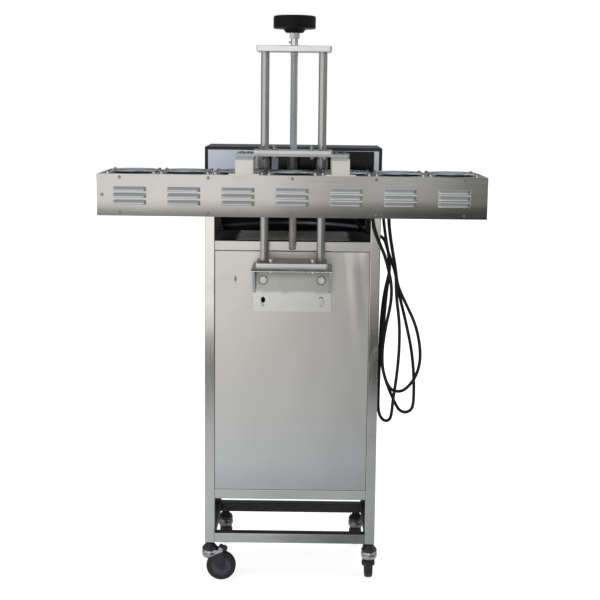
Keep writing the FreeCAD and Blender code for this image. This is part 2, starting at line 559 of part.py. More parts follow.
for k, x in enumerate(FAN_X):
    put("fan_rotor_%d" % (k + 1), rotor(x, 11.0 * k))

WIRE = 1.1


def guard(x):
    z = HEAD_Z1 + 5.0
    g = []
    for r in (14.0, 25.0, 36.0, 47.0, 57.0):
        g.append(Part.makeTorus(r, WIRE, V(x, FAN_Y, z), V(0, 0, 1)))
    g.append(zcyl(10.0, x, FAN_Y, z - 1.0, z + 0.4))
    for a in (45, 135):
        d = V(math.cos(math.radians(a)), math.sin(math.radians(a)), 0)
        r = 70.0
        zz = z - 2 * WIRE + 0.5
        p = V(x, FAN_Y, zz) - d * r
        g.append(Part.makeCylinder(WIRE, 2 * r, p, d))
    for sx in (-1, 1):
        for sy in (-1, 1):
            ex, ey = x + sx * FAN_HOLE, FAN_Y + sy * FAN_HOLE
            g.append(zcyl(4.6, ex, ey, HEAD_Z1, HEAD_Z1 + 4.4))
    s = fuse(g)
    return s


put("fan_guards", *[guard(x) for x in FAN_X])


def pan_head(r, h, p, d):
    s = cyl(r, h, (0, 0, 0))
    s = round_edges(s, h * 0.6, lambda e: abs(e.CenterOfMass.z - h) < 1e-6)
    s = s.cut(Part.makeCompound([box(-r * 0.6, r * 0.6, -0.45, 0.45, h * 0.55, h + 1), box(-0.45, 0.45, -r * 0.6, r * 0.6, h * 0.55, h + 1)]))
    s.Placement = FreeCAD.Placement(V(*p), FreeCAD.Rotation(V(0, 0, 1), V(*d)))
    return s


hs = []
FRONT_SCREWS = [(x, z) for x in (-390, -190, 0, 190, 390) for z in (HEAD_Z1 - 7, HEAD_Z0 + 8)] + [(-430, 1005), (430, 1005)]
for x, z in FRONT_SCREWS:
    hs.append(pan_head(3.6, 2.4, (x, HEAD_Y0, z), (0, -1, 0)))
    hs.append(pan_head(3.6, 2.4, (x, HEAD_Y1, z), (0, 1, 0)))
for x in FAN_X:
    for sx in (-1, 1):
        for sy in (-1, 1):
            hs.append(pan_head(3.8, 2.6, (x + sx * FAN_HOLE, FAN_Y + sy * FAN_HOLE, HEAD_Z1 + 4.4), (0, 0, 1)))
put("head_screws", *hs)

# ---------------------------------------------------------------------------
# castors: fixed stem with bell, swivel fork, wheel, brake pedal on the front two
# d runs along the trail direction, drawn along +X and then turned
# ---------------------------------------------------------------------------
CROWN_T = 81.5


def stem():
    return revolve([(0, 70.5), (JOURNAL_R, 70.5), (JOURNAL_R, 82), (20, 82), (20, 84), (18.5, 87), (9, 98), (7, 102), (0, 102)])


def fork(pedal):
    o = CAST_OFF
    body = [revolve([(JOURNAL_R + RUN_FIT, 60.0), (15.0, 60.0), (18.5, 62.5), (20.3, 66.5), (20.6, 71), (20.2, 75.5), (19.0, 79.5), (17.5, CROWN_T), (JOURNAL_R + RUN_FIT, CROWN_T)])]
    # the crown is trimmed clear of the tyre
    plate = box(-12, 34, -15.2, 15.2, 77.5, CROWN_T).cut(zcyl(JOURNAL_R + RUN_FIT, 0, 0, 60, 90))
    body.append(plate)
    for s in (-1, 1):
        y0 = 12.6 if s > 0 else -15.2
        leg = prism([(-9, y0, 78), (34, y0, 78), (o + 9.0, y0, 38), (o + 6.0, y0, 31), (o, y0, 28.5), (o - 6.0, y0, 31), (o - 9.5, y0, 39), (-9, y0, 66)], (0, 2.6, 0))
        body.append(leg)
    f = fuse(body)
    tyre = cyl(WHEEL_R + 1.2, 24.8, (o, -12.4, WHEEL_R), (0, 1, 0))
    f = f.cut(tyre)
    axle = [cyl(4.0, 34.0, (o, -17.0, WHEEL_R), (0, 1, 0)), cyl(6.0, 1.4, (o, -15.2, WHEEL_R), (0, -1, 0)), cyl(6.0, 1.4, (o, 15.2, WHEEL_R), (0, 1, 0))]
    f = fuse([f] + axle)
    if pedal:
        ears = []
        for s in (-1, 1):
            y0 = 11.0 if s > 0 else -14.0
            ears.append(prism([(22.5, y0, 80), (32.5, y0, 80), (32.5, y0, 85.5), (29.5, y0, 88.5), (25.5, y0, 88.5), (22.5, y0, 85.5)], (0, 3.0, 0)))
        ears.append(cyl(2.0, 26.0, (27.5, -13.0, 85.0), (0, 1, 0)))
        f = fuse([f] + ears)
    return f


def wheel():
    o = CAST_OFF
    w, r = WHEEL_W / 2, WHEEL_R
    prof = [(4.05, -12.2), (9, -12.2), (10, -9.0), (24.5, -8.0), (26.5, -w), (r - 4.0, -w), (r - 1.2, -w + 1.6), (r, -w + 4.5), (r, w - 4.5), (r - 1.2, w - 1.6), (r - 4.0, w), (26.5, w), (24.5, 8.0), (10, 9.0), (9, 12.2), (4.05, 12.2)]
    s = revolve(prof)
    s.rotate(V(0, 0, 0), V(1, 0, 0), 90)
    return moved(s, o, 0, r)


def pedal():
    p = prism([(23.0, -9.5, 82.6), (31, -9.5, 83.2), (35.2, -9.5, 83.2), (37.2, -9.5, 79.6), (40.5, -9.5, 77.1), (44.0, -9.5, 79.6), (44.6, -9.5, 82.0), (39.5, -9.5, 86.5), (30.0, -9.5, 88.5), (25.0, -9.5, 88.3), (23.0, -9.5, 86.5)], (0, 19.0, 0))
    return p.cut(cyl(2.05, 40, (27.5, -20, 85.0), (0, 1, 0)))


CASTORS = {"front_left": (-FRONT_CAST[0], FRONT_CAST[1], 0.0, True), "front_right": (FRONT_CAST[0], FRONT_CAST[1], 90.0, True), "rear_left": (-REAR_CAST[0], REAR_CAST[1], 90.0, False), "rear_right": (REAR_CAST[0], REAR_CAST[1], 90.0, False)}
stems = []
for n, (x, y, a, pd) in CASTORS.items():
    stems.append(moved(stem(), x, y))
    put("castor_fork_" + n, moved(turned_z(fork(pd), a), x, y))
    put("castor_wheel_" + n, moved(turned_z(wheel(), a), x, y))
    if pd:
        put("brake_pedal_" + n, moved(turned_z(pedal(), a), x, y))
put("castor_stems", *stems)

# ---------------------------------------------------------------------------
# mains lead: gland under the shelf, over the side rail, hank hung on a hook
# ---------------------------------------------------------------------------
GLAND = (150.0, 110.0)
gl = [hexa(20, 7, (GLAND[0], GLAND[1], POST_TOP - SHEET - 7)), zcyl(8.5, GLAND[0], GLAND[1], POST_TOP - SHEET - 16, POST_TOP - SHEET - 6), zcyl(6.5, GLAND[0], GLAND[1], POST_TOP - SHEET - 20, POST_TOP - SHEET - 15)]
put("cable_gland", fuse(gl))
GLAND_Z = POST_TOP - SHEET - 20

HOOK = (207.0, 984.5)
HOOK_Y = -47.0
hk = [cyl(3.0, -HOOK_Y, (HOOK[0], HOOK_Y, HOOK[1]), (0, 1, 0)), zcyl(3.0, HOOK[0], HOOK_Y, HOOK[1], HOOK[1] + 14), cyl(4.4, 2.5, (HOOK[0], -2.5, HOOK[1]), (0, 1, 0)), Part.makeSphere(3.0, V(HOOK[0], HOOK_Y, HOOK[1])), Part.makeSphere(3.0, V(HOOK[0], HOOK_Y, HOOK[1] + 14))]
put("cord_hook", fuse(hk))

NECK_Z = 806.0
# four stretches of lead outside the hank; each is a list of corner points
RUN_SUPPLY = [(GLAND[0], GLAND[1], GLAND_Z), (150, 110, 935), (163, 92, 908), (190, 62, 889), (226, 38, 889), (237, 31, 850), (254, 22, NECK_Z)]
RUN_HOOK_1 = [(241, 13, NECK_Z), (225, -12, 850), (203, -31, 898), (191.5, -38, 940), (191.5, -38, 993), (233, -2, 993), (234, 0, 940), (238, 5, 900), (247, 9, 850), (256, 13, NECK_Z)]
RUN_HOOK_2 = [(238, 2, NECK_Z), (224.5, -24, 850), (203, -43.5, 898), (191.5, -50.5, 940), (191.5, -50.5, 993), (233, -14.5, 993), (234, -12, 940), (238, -7, 900), (247, -2.5, 850), (256, 2, NECK_Z)]
RUN_PLUG = [(243, 33, NECK_Z), (240, 46, 840), (235, 72, 872), (231, 108, 908), (229, 146, 950), (226, 176, 992), (207, 201, 1006), (180, 214, 1008), (158, 214, 1008)]


def lead(points, name):
    """Tube on straight runs joined by tangent arcs."""
    P = [V(*p) for p in points]
    for end, nxt in ((0, 1), (-1, -2)):
        if abs(P[end].z - NECK_Z) < 1e-6:
            d = P[end] - P[nxt]
            P[end] = P[end] + d * (4.0 / d.Length)
    edges = []
    cur = P[0]
    length = 0.0
    radii = []
    for k in range(1, len(P) - 1):
        a, b, c = P[k - 1], P[k], P[k + 1]
        u = (b - a)
        w = (c - b)
        lu, lw = u.Length, w.Length
        u = u * (1.0 / lu)
        w = w * (1.0 / lw)
        turn = math.acos(max(-1.0, min(1.0, u.dot(w))))
        cutb = 0.45 * min(lu, lw)
        R = cutb / math.tan(turn / 2.0)
        radii.append(R)
        s, e = b - u * cutb, b + w * cutb
        n = (w - u)
        n = n * (1.0 / n.Length)
        centre = b + n * (R / math.cos(turn / 2.0))
        m = centre - n * R
        edges.append(Part.LineSegment(cur, s).toShape())
        length += (s - cur).Length + R * turn
        edges.append(Part.Arc(s, m, e).toShape())
        cur = e
    edges.append(Part.LineSegment(cur, P[-1]).toShape())
    length += (P[-1] - cur).Length
    w = Part.Wire(edges)
    d0 = P[1] - P[0]
    prof = Part.Wire([Part.Circle(P[0], d0, CORD_D / 2.0).toShape()])
    t = w.makePipeShell([prof], True, False, 2)
    area = math.pi * CORD_D ** 2 / 4.0
    print("%s: length %.1f mm, radii %s, volume ratio %.4f" % (name, length, " ".join("%.0f" % r for r in radii), t.Volume / (area * length)))
    return t


tubes = [lead(RUN_SUPPLY, "supply run"), lead(RUN_HOOK_1, "first hook run"), lead(RUN_HOOK_2, "second hook run"), lead(RUN_PLUG, "plug run")]
# the ends at the neck lie flush on the hank
below = box(200, 290, -40, 80, NECK_Z - 40, NECK_Z)
put("cord_lead", *[t.cut(below) for t in tubes])

# the hank: one closed solid with the outline of the gathered neck and the loops below it
OUTL = [(233, NECK_Z), (261, NECK_Z), (267, 762), (287, 722), (310, 678), (323, 627), (327.5, 580), (323, 535), (315, 500), (314.5, 460), (306, 440), (288, 435), (268, 442), (256, 428), (240, 415), (222, 420), (216.5, 445), (216.5, 540), (217.5, 620), (220, 690), (228, 760)]
hank = prism([(x, -6.0, z) for x, z in OUTL], (0, 54.0, 0))
put("cord_hank", hank)

PL_X, PL_Y, PL_Z = 158.0, 214.0, 1008.0
pl = [cyl(6.0, 22.0, (PL_X, PL_Y, PL_Z), (-1, 0, 0)), Part.makeCone(9.0, 16.0, 14.0, V(PL_X - 20, PL_Y, PL_Z), V(-1, 0, 0)), cyl(18.0, 18.0, (PL_X - 34, PL_Y, PL_Z), (-1, 0, 0))]
for s in (-1, 1):
    pl.append(cyl(2.4, 20.0, (PL_X - 51, PL_Y + s * 9.5, PL_Z), (-1, 0, 0)))
put("mains_plug", fuse(pl))

# ---------------------------------------------------------------------------
# move to the row frame and write
# ---------------------------------------------------------------------------
CORDY = ("cord_lead", "cord_hank", "mains_plug")
bb = FreeCAD.BoundBox()
for name, solids in nodes.items():
    for s in solids:
        s.translate(V(0, Y_SHIFT, 0))
        if name not in CORDY:
            bb.add(s.BoundBox)
    shape = solids[0] if len(solids) == 1 else Part.makeCompound(solids)
    shape.exportStep("parts/%s.step" % name)
print("nodes", len(nodes), "solids", sum(len(s) for s in nodes.values()))
print("box X %.2f %.2f  Y %.2f %.2f  Z %.2f %.2f" % (bb.XMin, bb.XMax, bb.YMin, bb.YMax, bb.ZMin, bb.ZMax))
print("Y_SHIFT %.3f" % Y_SHIFT)
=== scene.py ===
import math

import bmesh
import bpy
from mathutils import Matrix, Vector


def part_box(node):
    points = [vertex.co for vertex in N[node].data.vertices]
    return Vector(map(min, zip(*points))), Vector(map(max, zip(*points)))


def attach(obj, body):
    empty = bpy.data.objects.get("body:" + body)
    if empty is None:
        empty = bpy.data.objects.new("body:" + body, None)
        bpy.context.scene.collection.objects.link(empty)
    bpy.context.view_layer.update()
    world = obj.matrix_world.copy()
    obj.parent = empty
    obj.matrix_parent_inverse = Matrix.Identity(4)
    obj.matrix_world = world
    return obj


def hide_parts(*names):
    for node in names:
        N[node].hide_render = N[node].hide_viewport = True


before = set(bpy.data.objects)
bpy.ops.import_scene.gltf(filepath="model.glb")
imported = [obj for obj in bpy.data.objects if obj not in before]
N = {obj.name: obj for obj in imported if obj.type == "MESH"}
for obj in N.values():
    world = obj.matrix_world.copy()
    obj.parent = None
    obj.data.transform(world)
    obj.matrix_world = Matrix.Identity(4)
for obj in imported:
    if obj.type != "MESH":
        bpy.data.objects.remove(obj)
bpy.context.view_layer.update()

sc = bpy.context.scene
Y_SHIFT = -43.5


def at(x, y, z):
    """Working-frame millimetres (front of the stand tubes at Y = 0) to row-frame metres."""
    return (x / 1000.0, (y + Y_SHIFT) / 1000.0, z / 1000.0)


# ---------------------------------------------------------------------------
# camera
# ---------------------------------------------------------------------------
F_PX, PX0, PY0 = 1166.4401, 300.0, 260.0
YAW, PITCH, ROLL = -0.0040, -0.1382, 0.0112
cam_data = bpy.data.cameras.new("camera")
cam = bpy.data.objects.new("camera", cam_data)
sc.collection.objects.link(cam)
cy, sy, cp, sp = math.cos(YAW), math.sin(YAW), math.cos(PITCH), math.sin(PITCH)
right = Vector((cy, -sy, 0.0))
fwd = Vector((cp * sy, cp * cy, sp))
up = Vector((-sp * sy, -sp * cy, cp))
cr, sr = math.cos(ROLL), math.sin(ROLL)
right, up = cr * right + sr * up, cr * up - sr * right
m = Matrix.Identity(4)
for i in range(3):
    m[i][0], m[i][1], m[i][2] = right[i], up[i], -fwd[i]
m.translation = Vector(at(30.0351, -2843.6104, 1226.3655))
cam.matrix_world = m
cam_data.sensor_fit = "HORIZONTAL"
cam_data.sensor_width = 36.0
cam_data.lens = F_PX / 600.0 * 36.0
cam_data.shift_x = (300.0 - PX0) / 600.0
cam_data.shift_y = (PY0 - 300.0) / 600.0
cam_data.clip_start, cam_data.clip_end = 0.05, 200.0
sc.camera = cam

# ---------------------------------------------------------------------------
# mains lead: one spline from the gland, through the hank and over the hook, to the plug
# ---------------------------------------------------------------------------
RUN_SUPPLY = [(150, 110, 968), (150, 110, 935), (163, 92, 908), (190, 62, 889), (226, 38, 889), (237, 31, 850), (254, 22, 806)]
LOOP_A = [(261, 25, 770), (268, 27, 738), (283, 27, 682), (302, 27, 600), (309, 27, 530), (309.6, 27, 464), (303.3, 27, 446.7), (288, 27, 440.4),
          (272.7, 27, 446.7), (260, 27, 470), (240, 27, 515), (226, 27, 565), (225.5, 27, 625), (231, 25, 690), (234, 21, 745), (238, 16, 780)]
RUN_HOOK_1 = [(241, 13, 806), (225, -12, 850), (203, -31, 898), (191.5, -38, 940), (191.5, -38, 993), (233, -2, 993), (234, 0, 940), (238, 5, 900), (247, 9, 850), (256, 13, 806)]
LOOP_B = [(261, 13, 768), (281, 13, 726), (306, 13, 676), (319, 13, 627), (323, 13, 580), (313, 13, 538), (290, 13, 506), (269, 13, 497), (246, 13, 505),
          (228.5, 13, 550), (226, 13, 603), (233, 12, 661), (246, 9, 725), (246, 5, 770)]
RUN_HOOK_2 = [(238, 2, 806), (224.5, -24, 850), (203, -43.5, 898), (191.5, -50.5, 940), (191.5, -50.5, 993), (233, -14.5, 993), (234, -12, 940), (238, -7, 900), (247, -2.5, 850), (256, 2, 806)]
LOOP_C = [(257, 0, 745), (267, -1, 680), (268, -1, 609), (263, -1, 540), (254.5, -1.5, 478), (252.6, -0.7, 447), (248.5, 4.9, 427.3), (237, 21, 419.1),
          (225.5, 37.1, 427.3), (221.2, 43, 447), (221, 43, 480), (222, 42, 560), (223, 42, 640), (225, 42, 690), (230, 41, 740), (238, 38, 780)]
RUN_PLUG = [(243, 33, 806), (240, 46, 840), (235, 72, 872), (231, 108, 908), (229, 146, 950), (226, 176, 992), (207, 201, 1006), (180, 214, 1008), (158, 214, 1008)]
CORD_D = 0.008
route = RUN_SUPPLY + LOOP_A + RUN_HOOK_1 + LOOP_B + RUN_HOOK_2 + LOOP_C + RUN_PLUG
cu = bpy.data.curves.new("mains_lead", "CURVE")
cu.dimensions = "3D"
spl = cu.splines.new("NURBS")
spl.points.add(len(route) - 1)
for pt, p in zip(spl.points, route):
    pt.co = (*at(*p), 1.0)
spl.order_u = 3
spl.use_endpoint_u = True
spl.resolution_u = 8
cu.resolution_u = 8
cu.bevel_depth = CORD_D / 2
cu.bevel_resolution = 4
cu.use_fill_caps = True
lead = bpy.data.objects.new("mains_lead", cu)
sc.collection.objects.link(lead)


# ---------------------------------------------------------------------------
# mesh helpers
# ---------------------------------------------------------------------------
def mesh_object(name, verts, faces, smooth=True):
    me = bpy.data.meshes.new(name)
    me.from_pydata([tuple(v) for v in verts], [], faces)
    me.update()
    bm = bmesh.new()
    bm.from_mesh(me)
    bmesh.ops.remove_doubles(bm, verts=bm.verts, dist=1e-7)
    bmesh.ops.recalc_face_normals(bm, faces=bm.faces)
    bm.to_mesh(me)
    bm.free()
    for p in me.polygons:
        p.use_smooth = smooth
    o = bpy.data.objects.new(name, me)
    sc.collection.objects.link(o)
    return o


def lathe(profile, seg=48, origin=(0, 0, 0), axis="z"):
    """Closed surface of revolution; profile is (r, h) along the axis, both in mm."""
    verts, faces = [], []
    for r, h in profile:
        for k in range(seg):
            a = 2 * math.pi * k / seg
            c, s = r * math.cos(a), r * math.sin(a)
            v = {"z": (c, s, h), "x": (h, c, s), "-x": (-h, s, c), "y": (c, h, s)}[axis]
            verts.append(tuple(origin[i] + v[i] for i in range(3)))
    for j in range(len(profile) - 1):
        for k in range(seg):
            a, b = j * seg + k, j * seg + (k + 1) % seg
            faces.append((a, b, b + seg, a + seg))
    return verts, faces


def joined(parts):
    verts, faces = [], []
    for v, f in parts:
        n = len(verts)
        verts += v
        faces += [tuple(i + n for i in q) for q in f]
    return verts, faces


def placed(v, f):
    return [at(*p) for p in v], f


def rounded_plate(x0, x1, z0, z1, y_back, y_front, r, bev, seg=6):
    """Key or bezel plate facing -Y with rounded corners and a bevelled rim."""
    def ring(inset, y):
        pts = []
        rr = max(0.2, r - inset)
        for cx, cz, a0 in ((x1 - inset - rr, z1 - inset - rr, 0), (x0 + inset + rr, z1 - inset - rr, 90), (x0 + inset + rr, z0 + inset + rr, 180), (x1 - inset - rr, z0 + inset + rr, 270)):
            for k in range(seg + 1):
                a = math.radians(a0 + 90.0 * k / seg)
                pts.append((cx + rr * math.cos(a), y, cz + rr * math.sin(a)))
        return pts
    rings = [ring(0, y_back), ring(0, y_front + bev), ring(bev * 0.35, y_front + bev * 0.3), ring(bev, y_front)]
    n = len(rings[0])
    verts = [p for g in rings for p in g]
    faces = []
    for j in range(len(rings) - 1):
        for k in range(n):
            a, b = j * n + k, j * n + (k + 1) % n
            faces.append((a, b, b + n, a + n))
    faces.append(tuple(range((len(rings) - 1) * n, len(rings) * n)))
    faces.append(tuple(reversed(range(n))))
    return verts, faces


# ---------------------------------------------------------------------------
# material helpers
# ---------------------------------------------------------------------------
def new_mat(name):
    mt = bpy.data.materials.new(name)
    mt.use_nodes = True
    nt = mt.node_tree
    b = nt.nodes["Principled BSDF"]
    return mt, nt, b


def node(nt, kind, **kw):
    n = nt.nodes.new(kind)
    for k, v in kw.items():
        setattr(n, k, v)
    return n


def coords(nt, scale, rot=(0, 0, 0), loc=(0, 0, 0)):
    tc = node(nt, "ShaderNodeTexCoord")
    mp = node(nt, "ShaderNodeMapping")
    mp.inputs["Scale"].default_value = scale
    mp.inputs["Rotation"].default_value = rot
    mp.inputs["Location"].default_value = loc
    nt.links.new(tc.outputs["Object"], mp.inputs["Vector"])
    return mp.outputs["Vector"]


def noise(nt, vec, scale=1.0, detail=3.0, rough=0.55, dist=0.0):
    n = node(nt, "ShaderNodeTexNoise")
    n.inputs["Scale"].default_value = scale
    n.inputs["Detail"].default_value = detail
    n.inputs["Roughness"].default_value = rough
    n.inputs["Distortion"].default_value = dist
    nt.links.new(vec, n.inputs["Vector"])
    return n.outputs["Fac"]


def ramp(nt, fac, stops):
    r = node(nt, "ShaderNodeValToRGB")
    els = r.color_ramp.elements
    while len(els) < len(stops):
        els.new(0.5)
    for e, (p, c) in zip(els, stops):
        e.position = p
        e.color = (*c, 1.0) if len(c) == 3 else c
    nt.links.new(fac, r.inputs["Fac"])
    return r.outputs["Color"]


def span(nt, fac, a0, a1, b0, b1, smooth=False):
    r = node(nt, "ShaderNodeMapRange")
    if smooth:
        r.interpolation_type = "SMOOTHSTEP"
    for k, v in zip(("From Min", "From Max", "To Min", "To Max"), (a0, a1, b0, b1)):
        r.inputs[k].default_value = v
    nt.links.new(fac, r.inputs["Value"])
    return r.outputs["Result"]


def blend(nt, fac, a, b, mode="MIX"):
    x = node(nt, "ShaderNodeMix", data_type="RGBA", blend_type=mode)
    if isinstance(fac, float):
        x.inputs[0].default_value = fac
    else:
        nt.links.new(fac, x.inputs[0])
    for sock, v in ((x.inputs[6], a), (x.inputs[7], b)):
        if isinstance(v, tuple):
            sock.default_value = (*v, 1.0)
        else:
            nt.links.new(v, sock)
    return x.outputs[2]


def calc(nt, op, a, b=None, clamp=False):
    x = node(nt, "ShaderNodeMath", operation=op, use_clamp=clamp)
    for sock, v in zip(x.inputs, (a, b)):
        if v is None:
            continue
        if isinstance(v, (int, float)):
            sock.default_value = v
        else:
            nt.links.new(v, sock)
    return x.outputs[0]


def bump(nt, height, strength, distance, normal=None):
    bp = node(nt, "ShaderNodeBump")
    bp.inputs["Strength"].default_value = strength
    bp.inputs["Distance"].default_value = distance
    nt.links.new(height, bp.inputs["Height"])
    if normal is not None:
        nt.links.new(normal, bp.inputs["Normal"])
    return bp.outputs["Normal"]


def tone(c, k):
    return tuple(max(0.0, min(1.0, x * k)) for x in c)


GRAIN = {"x": (9.0, 1100.0, 1100.0), "y": (1100.0, 9.0, 1100.0), "z": (1100.0, 1100.0, 9.0), "turned": (40.0, 40.0, 2600.0), "none": (260.0, 260.0, 260.0)}


def steel(name, col, rough, grain="x", cvar=0.10, rvar=0.08, fine=0.15, cloud=3.0, camt=0.10, wave=0.0, smear=0.0):
    """Brushed or ground metal: fine drawn grain, soft cloudiness, slight waviness and handling smears."""
    mt, nt, b = new_mat(name)
    g = noise(nt, coords(nt, GRAIN[grain]), 1.0, 4.0, 0.65)
    c = noise(nt, coords(nt, (cloud, cloud, cloud)), 1.0, 3.0, 0.5, 0.4)
    cg = ramp(nt, g, [(0.28, tone(col, 1 - cvar)), (0.72, tone(col, 1 + cvar))])
    cc = ramp(nt, c, [(0.30, (1 - camt,) * 3), (0.70, (1.0,) * 3)])
    colr = blend(nt, 1.0, cg, cc, "MULTIPLY")
    rg = span(nt, g, 0.3, 0.7, rough - rvar, rough + rvar)
    if smear:
        s = noise(nt, coords(nt, (14.0, 14.0, 9.0), loc=(3.1, 0.7, 1.9)), 1.0, 5.0, 0.6, 1.2)
        rg = calc(nt, "ADD", rg, span(nt, s, 0.52, 0.72, 0.0, smear))
    nt.links.new(colr, b.inputs["Base Color"])
    nt.links.new(rg, b.inputs["Roughness"])
    nrm = None
    if wave:
        w = noise(nt, coords(nt, (5.0, 5.0, 3.2), loc=(0.4, 2.2, 0.9)), 1.0, 1.5, 0.5, 0.3)
        nrm = bump(nt, w, wave, 0.004)
    nrm = bump(nt, g, fine, 0.00012, nrm)
    nt.links.new(nrm, b.inputs["Normal"])
    b.inputs["Metallic"].default_value = 1.0
    return mt


def coating(name, col, rough, metallic=0.0, grain=900.0, bumpy=0.25, dist=0.00012, cvar=0.25, dust=0.0, dustcol=(0.30, 0.29, 0.27), coat=0.0, spec=0.5):
    """Moulded plastic, rubber or paint: fine texture, tone variation and a little dust."""
    mt, nt, b = new_mat(name)
    g = noise(nt, coords(nt, (grain,) * 3), 1.0, 3.0, 0.6)
    c = noise(nt, coords(nt, (16.0,) * 3, loc=(1.7, 0.3, 0.6)), 1.0, 4.0, 0.55, 0.5)
    colr = ramp(nt, c, [(0.30, tone(col, 1 - cvar)), (0.70, tone(col, 1 + cvar))])
    if dust:
        d = noise(nt, coords(nt, (38.0,) * 3, loc=(0.2, 4.1, 2.6)), 1.0, 6.0, 0.7, 0.8)
        colr = blend(nt, span(nt, d, 0.46, 0.80, 0.0, dust), colr, dustcol)
    nt.links.new(colr, b.inputs["Base Color"])
    nt.links.new(span(nt, c, 0.3, 0.7, max(0.03, rough - 0.06), rough + 0.06), b.inputs["Roughness"])
    nt.links.new(bump(nt, g, bumpy, dist), b.inputs["Normal"])
    b.inputs["Metallic"].default_value = metallic
    b.inputs["Specular IOR Level"].default_value = spec
    if coat:
        b.inputs["Coat Weight"].default_value = coat
        b.inputs["Coat Roughness"].default_value = 0.08
    return mt


def give(mt, *names):
    for n in names:
        me = N[n].data
        me.materials.clear()
        me.materials.append(mt)


def dress(o, mt):
    o.data.materials.clear()
    o.data.materials.append(mt)


# ---------------------------------------------------------------------------
# materials of the stand
# ---------------------------------------------------------------------------
def tube_steel(name, col, rough, grain):
    """Ground stainless tube; the inward faces of the lowest frame and of the bay under the unit are coloured
    near-black and non-metallic as painted shade, for the dark underside they reflect and the shade inside the bay.
    """
    mt = steel(name, col, rough, grain, cvar=0.04, rvar=0.03, fine=0.05, cloud=6.0, camt=0.10, wave=0.25, smear=0.05)
    nt = mt.node_tree
    b = nt.nodes["Principled BSDF"]
    geo = node(nt, "ShaderNodeNewGeometry")
    sx = node(nt, "ShaderNodeSeparateXYZ")
    nt.links.new(geo.outputs["True Normal"], sx.inputs[0])
    tc = node(nt, "ShaderNodeTexCoord")
    so = node(nt, "ShaderNodeSeparateXYZ")
    nt.links.new(tc.outputs["Object"], so.inputs[0])
    front = calc(nt, "LESS_THAN", so.outputs["Y"], -0.040)
    facing = calc(nt, "LESS_THAN", sx.outputs["Y"], -0.30)
    rear = calc(nt, "GREATER_THAN", sx.outputs["Y"], 0.30)
    outer = calc(nt, "MULTIPLY", calc(nt, "GREATER_THAN", so.outputs["Y"], 0.175), rear)
    side = calc(nt, "GREATER_THAN", calc(nt, "MULTIPLY", sx.outputs["X"], so.outputs["X"]), 0.02)
    bare = calc(nt, "MAXIMUM", calc(nt, "MAXIMUM", calc(nt, "MULTIPLY", front, facing), side), outer)
    low = calc(nt, "LESS_THAN", so.outputs["Z"], 0.214 if grain == "x" else 0.2175)
    bay = calc(nt, "MULTIPLY", calc(nt, "GREATER_THAN", so.outputs["Z"], 0.8765), calc(nt, "LESS_THAN", so.outputs["Z"], 0.9655))
    if grain == "x":
        bay = calc(nt, "MULTIPLY", bay, calc(nt, "GREATER_THAN", so.outputs["Y"], -0.0195))
    # painted shade mask: inward faces of the lowest frame and faces inside the bay
    k = calc(nt, "MULTIPLY", calc(nt, "MAXIMUM", low, bay), calc(nt, "SUBTRACT", 1.0, bare))
    old = b.inputs["Base Color"].links[0].from_socket
    oldr = b.inputs["Roughness"].links[0].from_socket
    if grain == "x":
        # the lowest rails darken towards their right end
        rail_right_darkening = noise(nt, coords(nt, (9.0, 9.0, 30.0)), 1.0, 3.0, 0.55)
        rail_right_darkening = calc(nt, "ADD", so.outputs["X"], span(nt, rail_right_darkening, 0.3, 0.7, -0.05, 0.05))
        rail_right_darkening = calc(nt, "MULTIPLY", span(nt, rail_right_darkening, -0.10, 0.14, 0.0, 0.70, True), calc(nt, "LESS_THAN", so.outputs["Z"], 0.170))
        old = blend(nt, rail_right_darkening, old, (0.13, 0.13, 0.132))
    else:
        # painted dark reflection: the posts darken below about 0.4 m, more on the right, for the darker surroundings
        # they reflect
        post_low_shade = noise(nt, coords(nt, (20.0, 20.0, 7.0)), 1.0, 3.0, 0.55)
        post_low_shade = calc(nt, "ADD", so.outputs["Z"], span(nt, post_low_shade, 0.3, 0.7, -0.03, 0.03))
        post_low_shade = calc(nt, "MULTIPLY", span(nt, post_low_shade, 0.37, 0.48, 1.0, 0.0, True), span(nt, so.outputs["X"], -0.10, 0.10, 0.10, 0.24))
        old = blend(nt, post_low_shade, old, (0.14, 0.14, 0.142))
    # near-black colour of the painted shade
    n2 = noise(nt, coords(nt, (30.0,) * 3), 1.0, 5.0, 0.6)
    black = ramp(nt, n2, [(0.35, (0.006, 0.006, 0.007)), (0.75, (0.018, 0.018, 0.020))])
    nt.links.new(blend(nt, k, old, black), b.inputs["Base Color"])
    rm = node(nt, "ShaderNodeMix", data_type="FLOAT")
    nt.links.new(k, rm.inputs[0])
    nt.links.new(oldr, rm.inputs[2])
    rm.inputs[3].default_value = 0.50
    nt.links.new(rm.outputs[0], b.inputs["Roughness"])
    nt.links.new(calc(nt, "SUBTRACT", 1.0, k), b.inputs["Metallic"])
    return mt


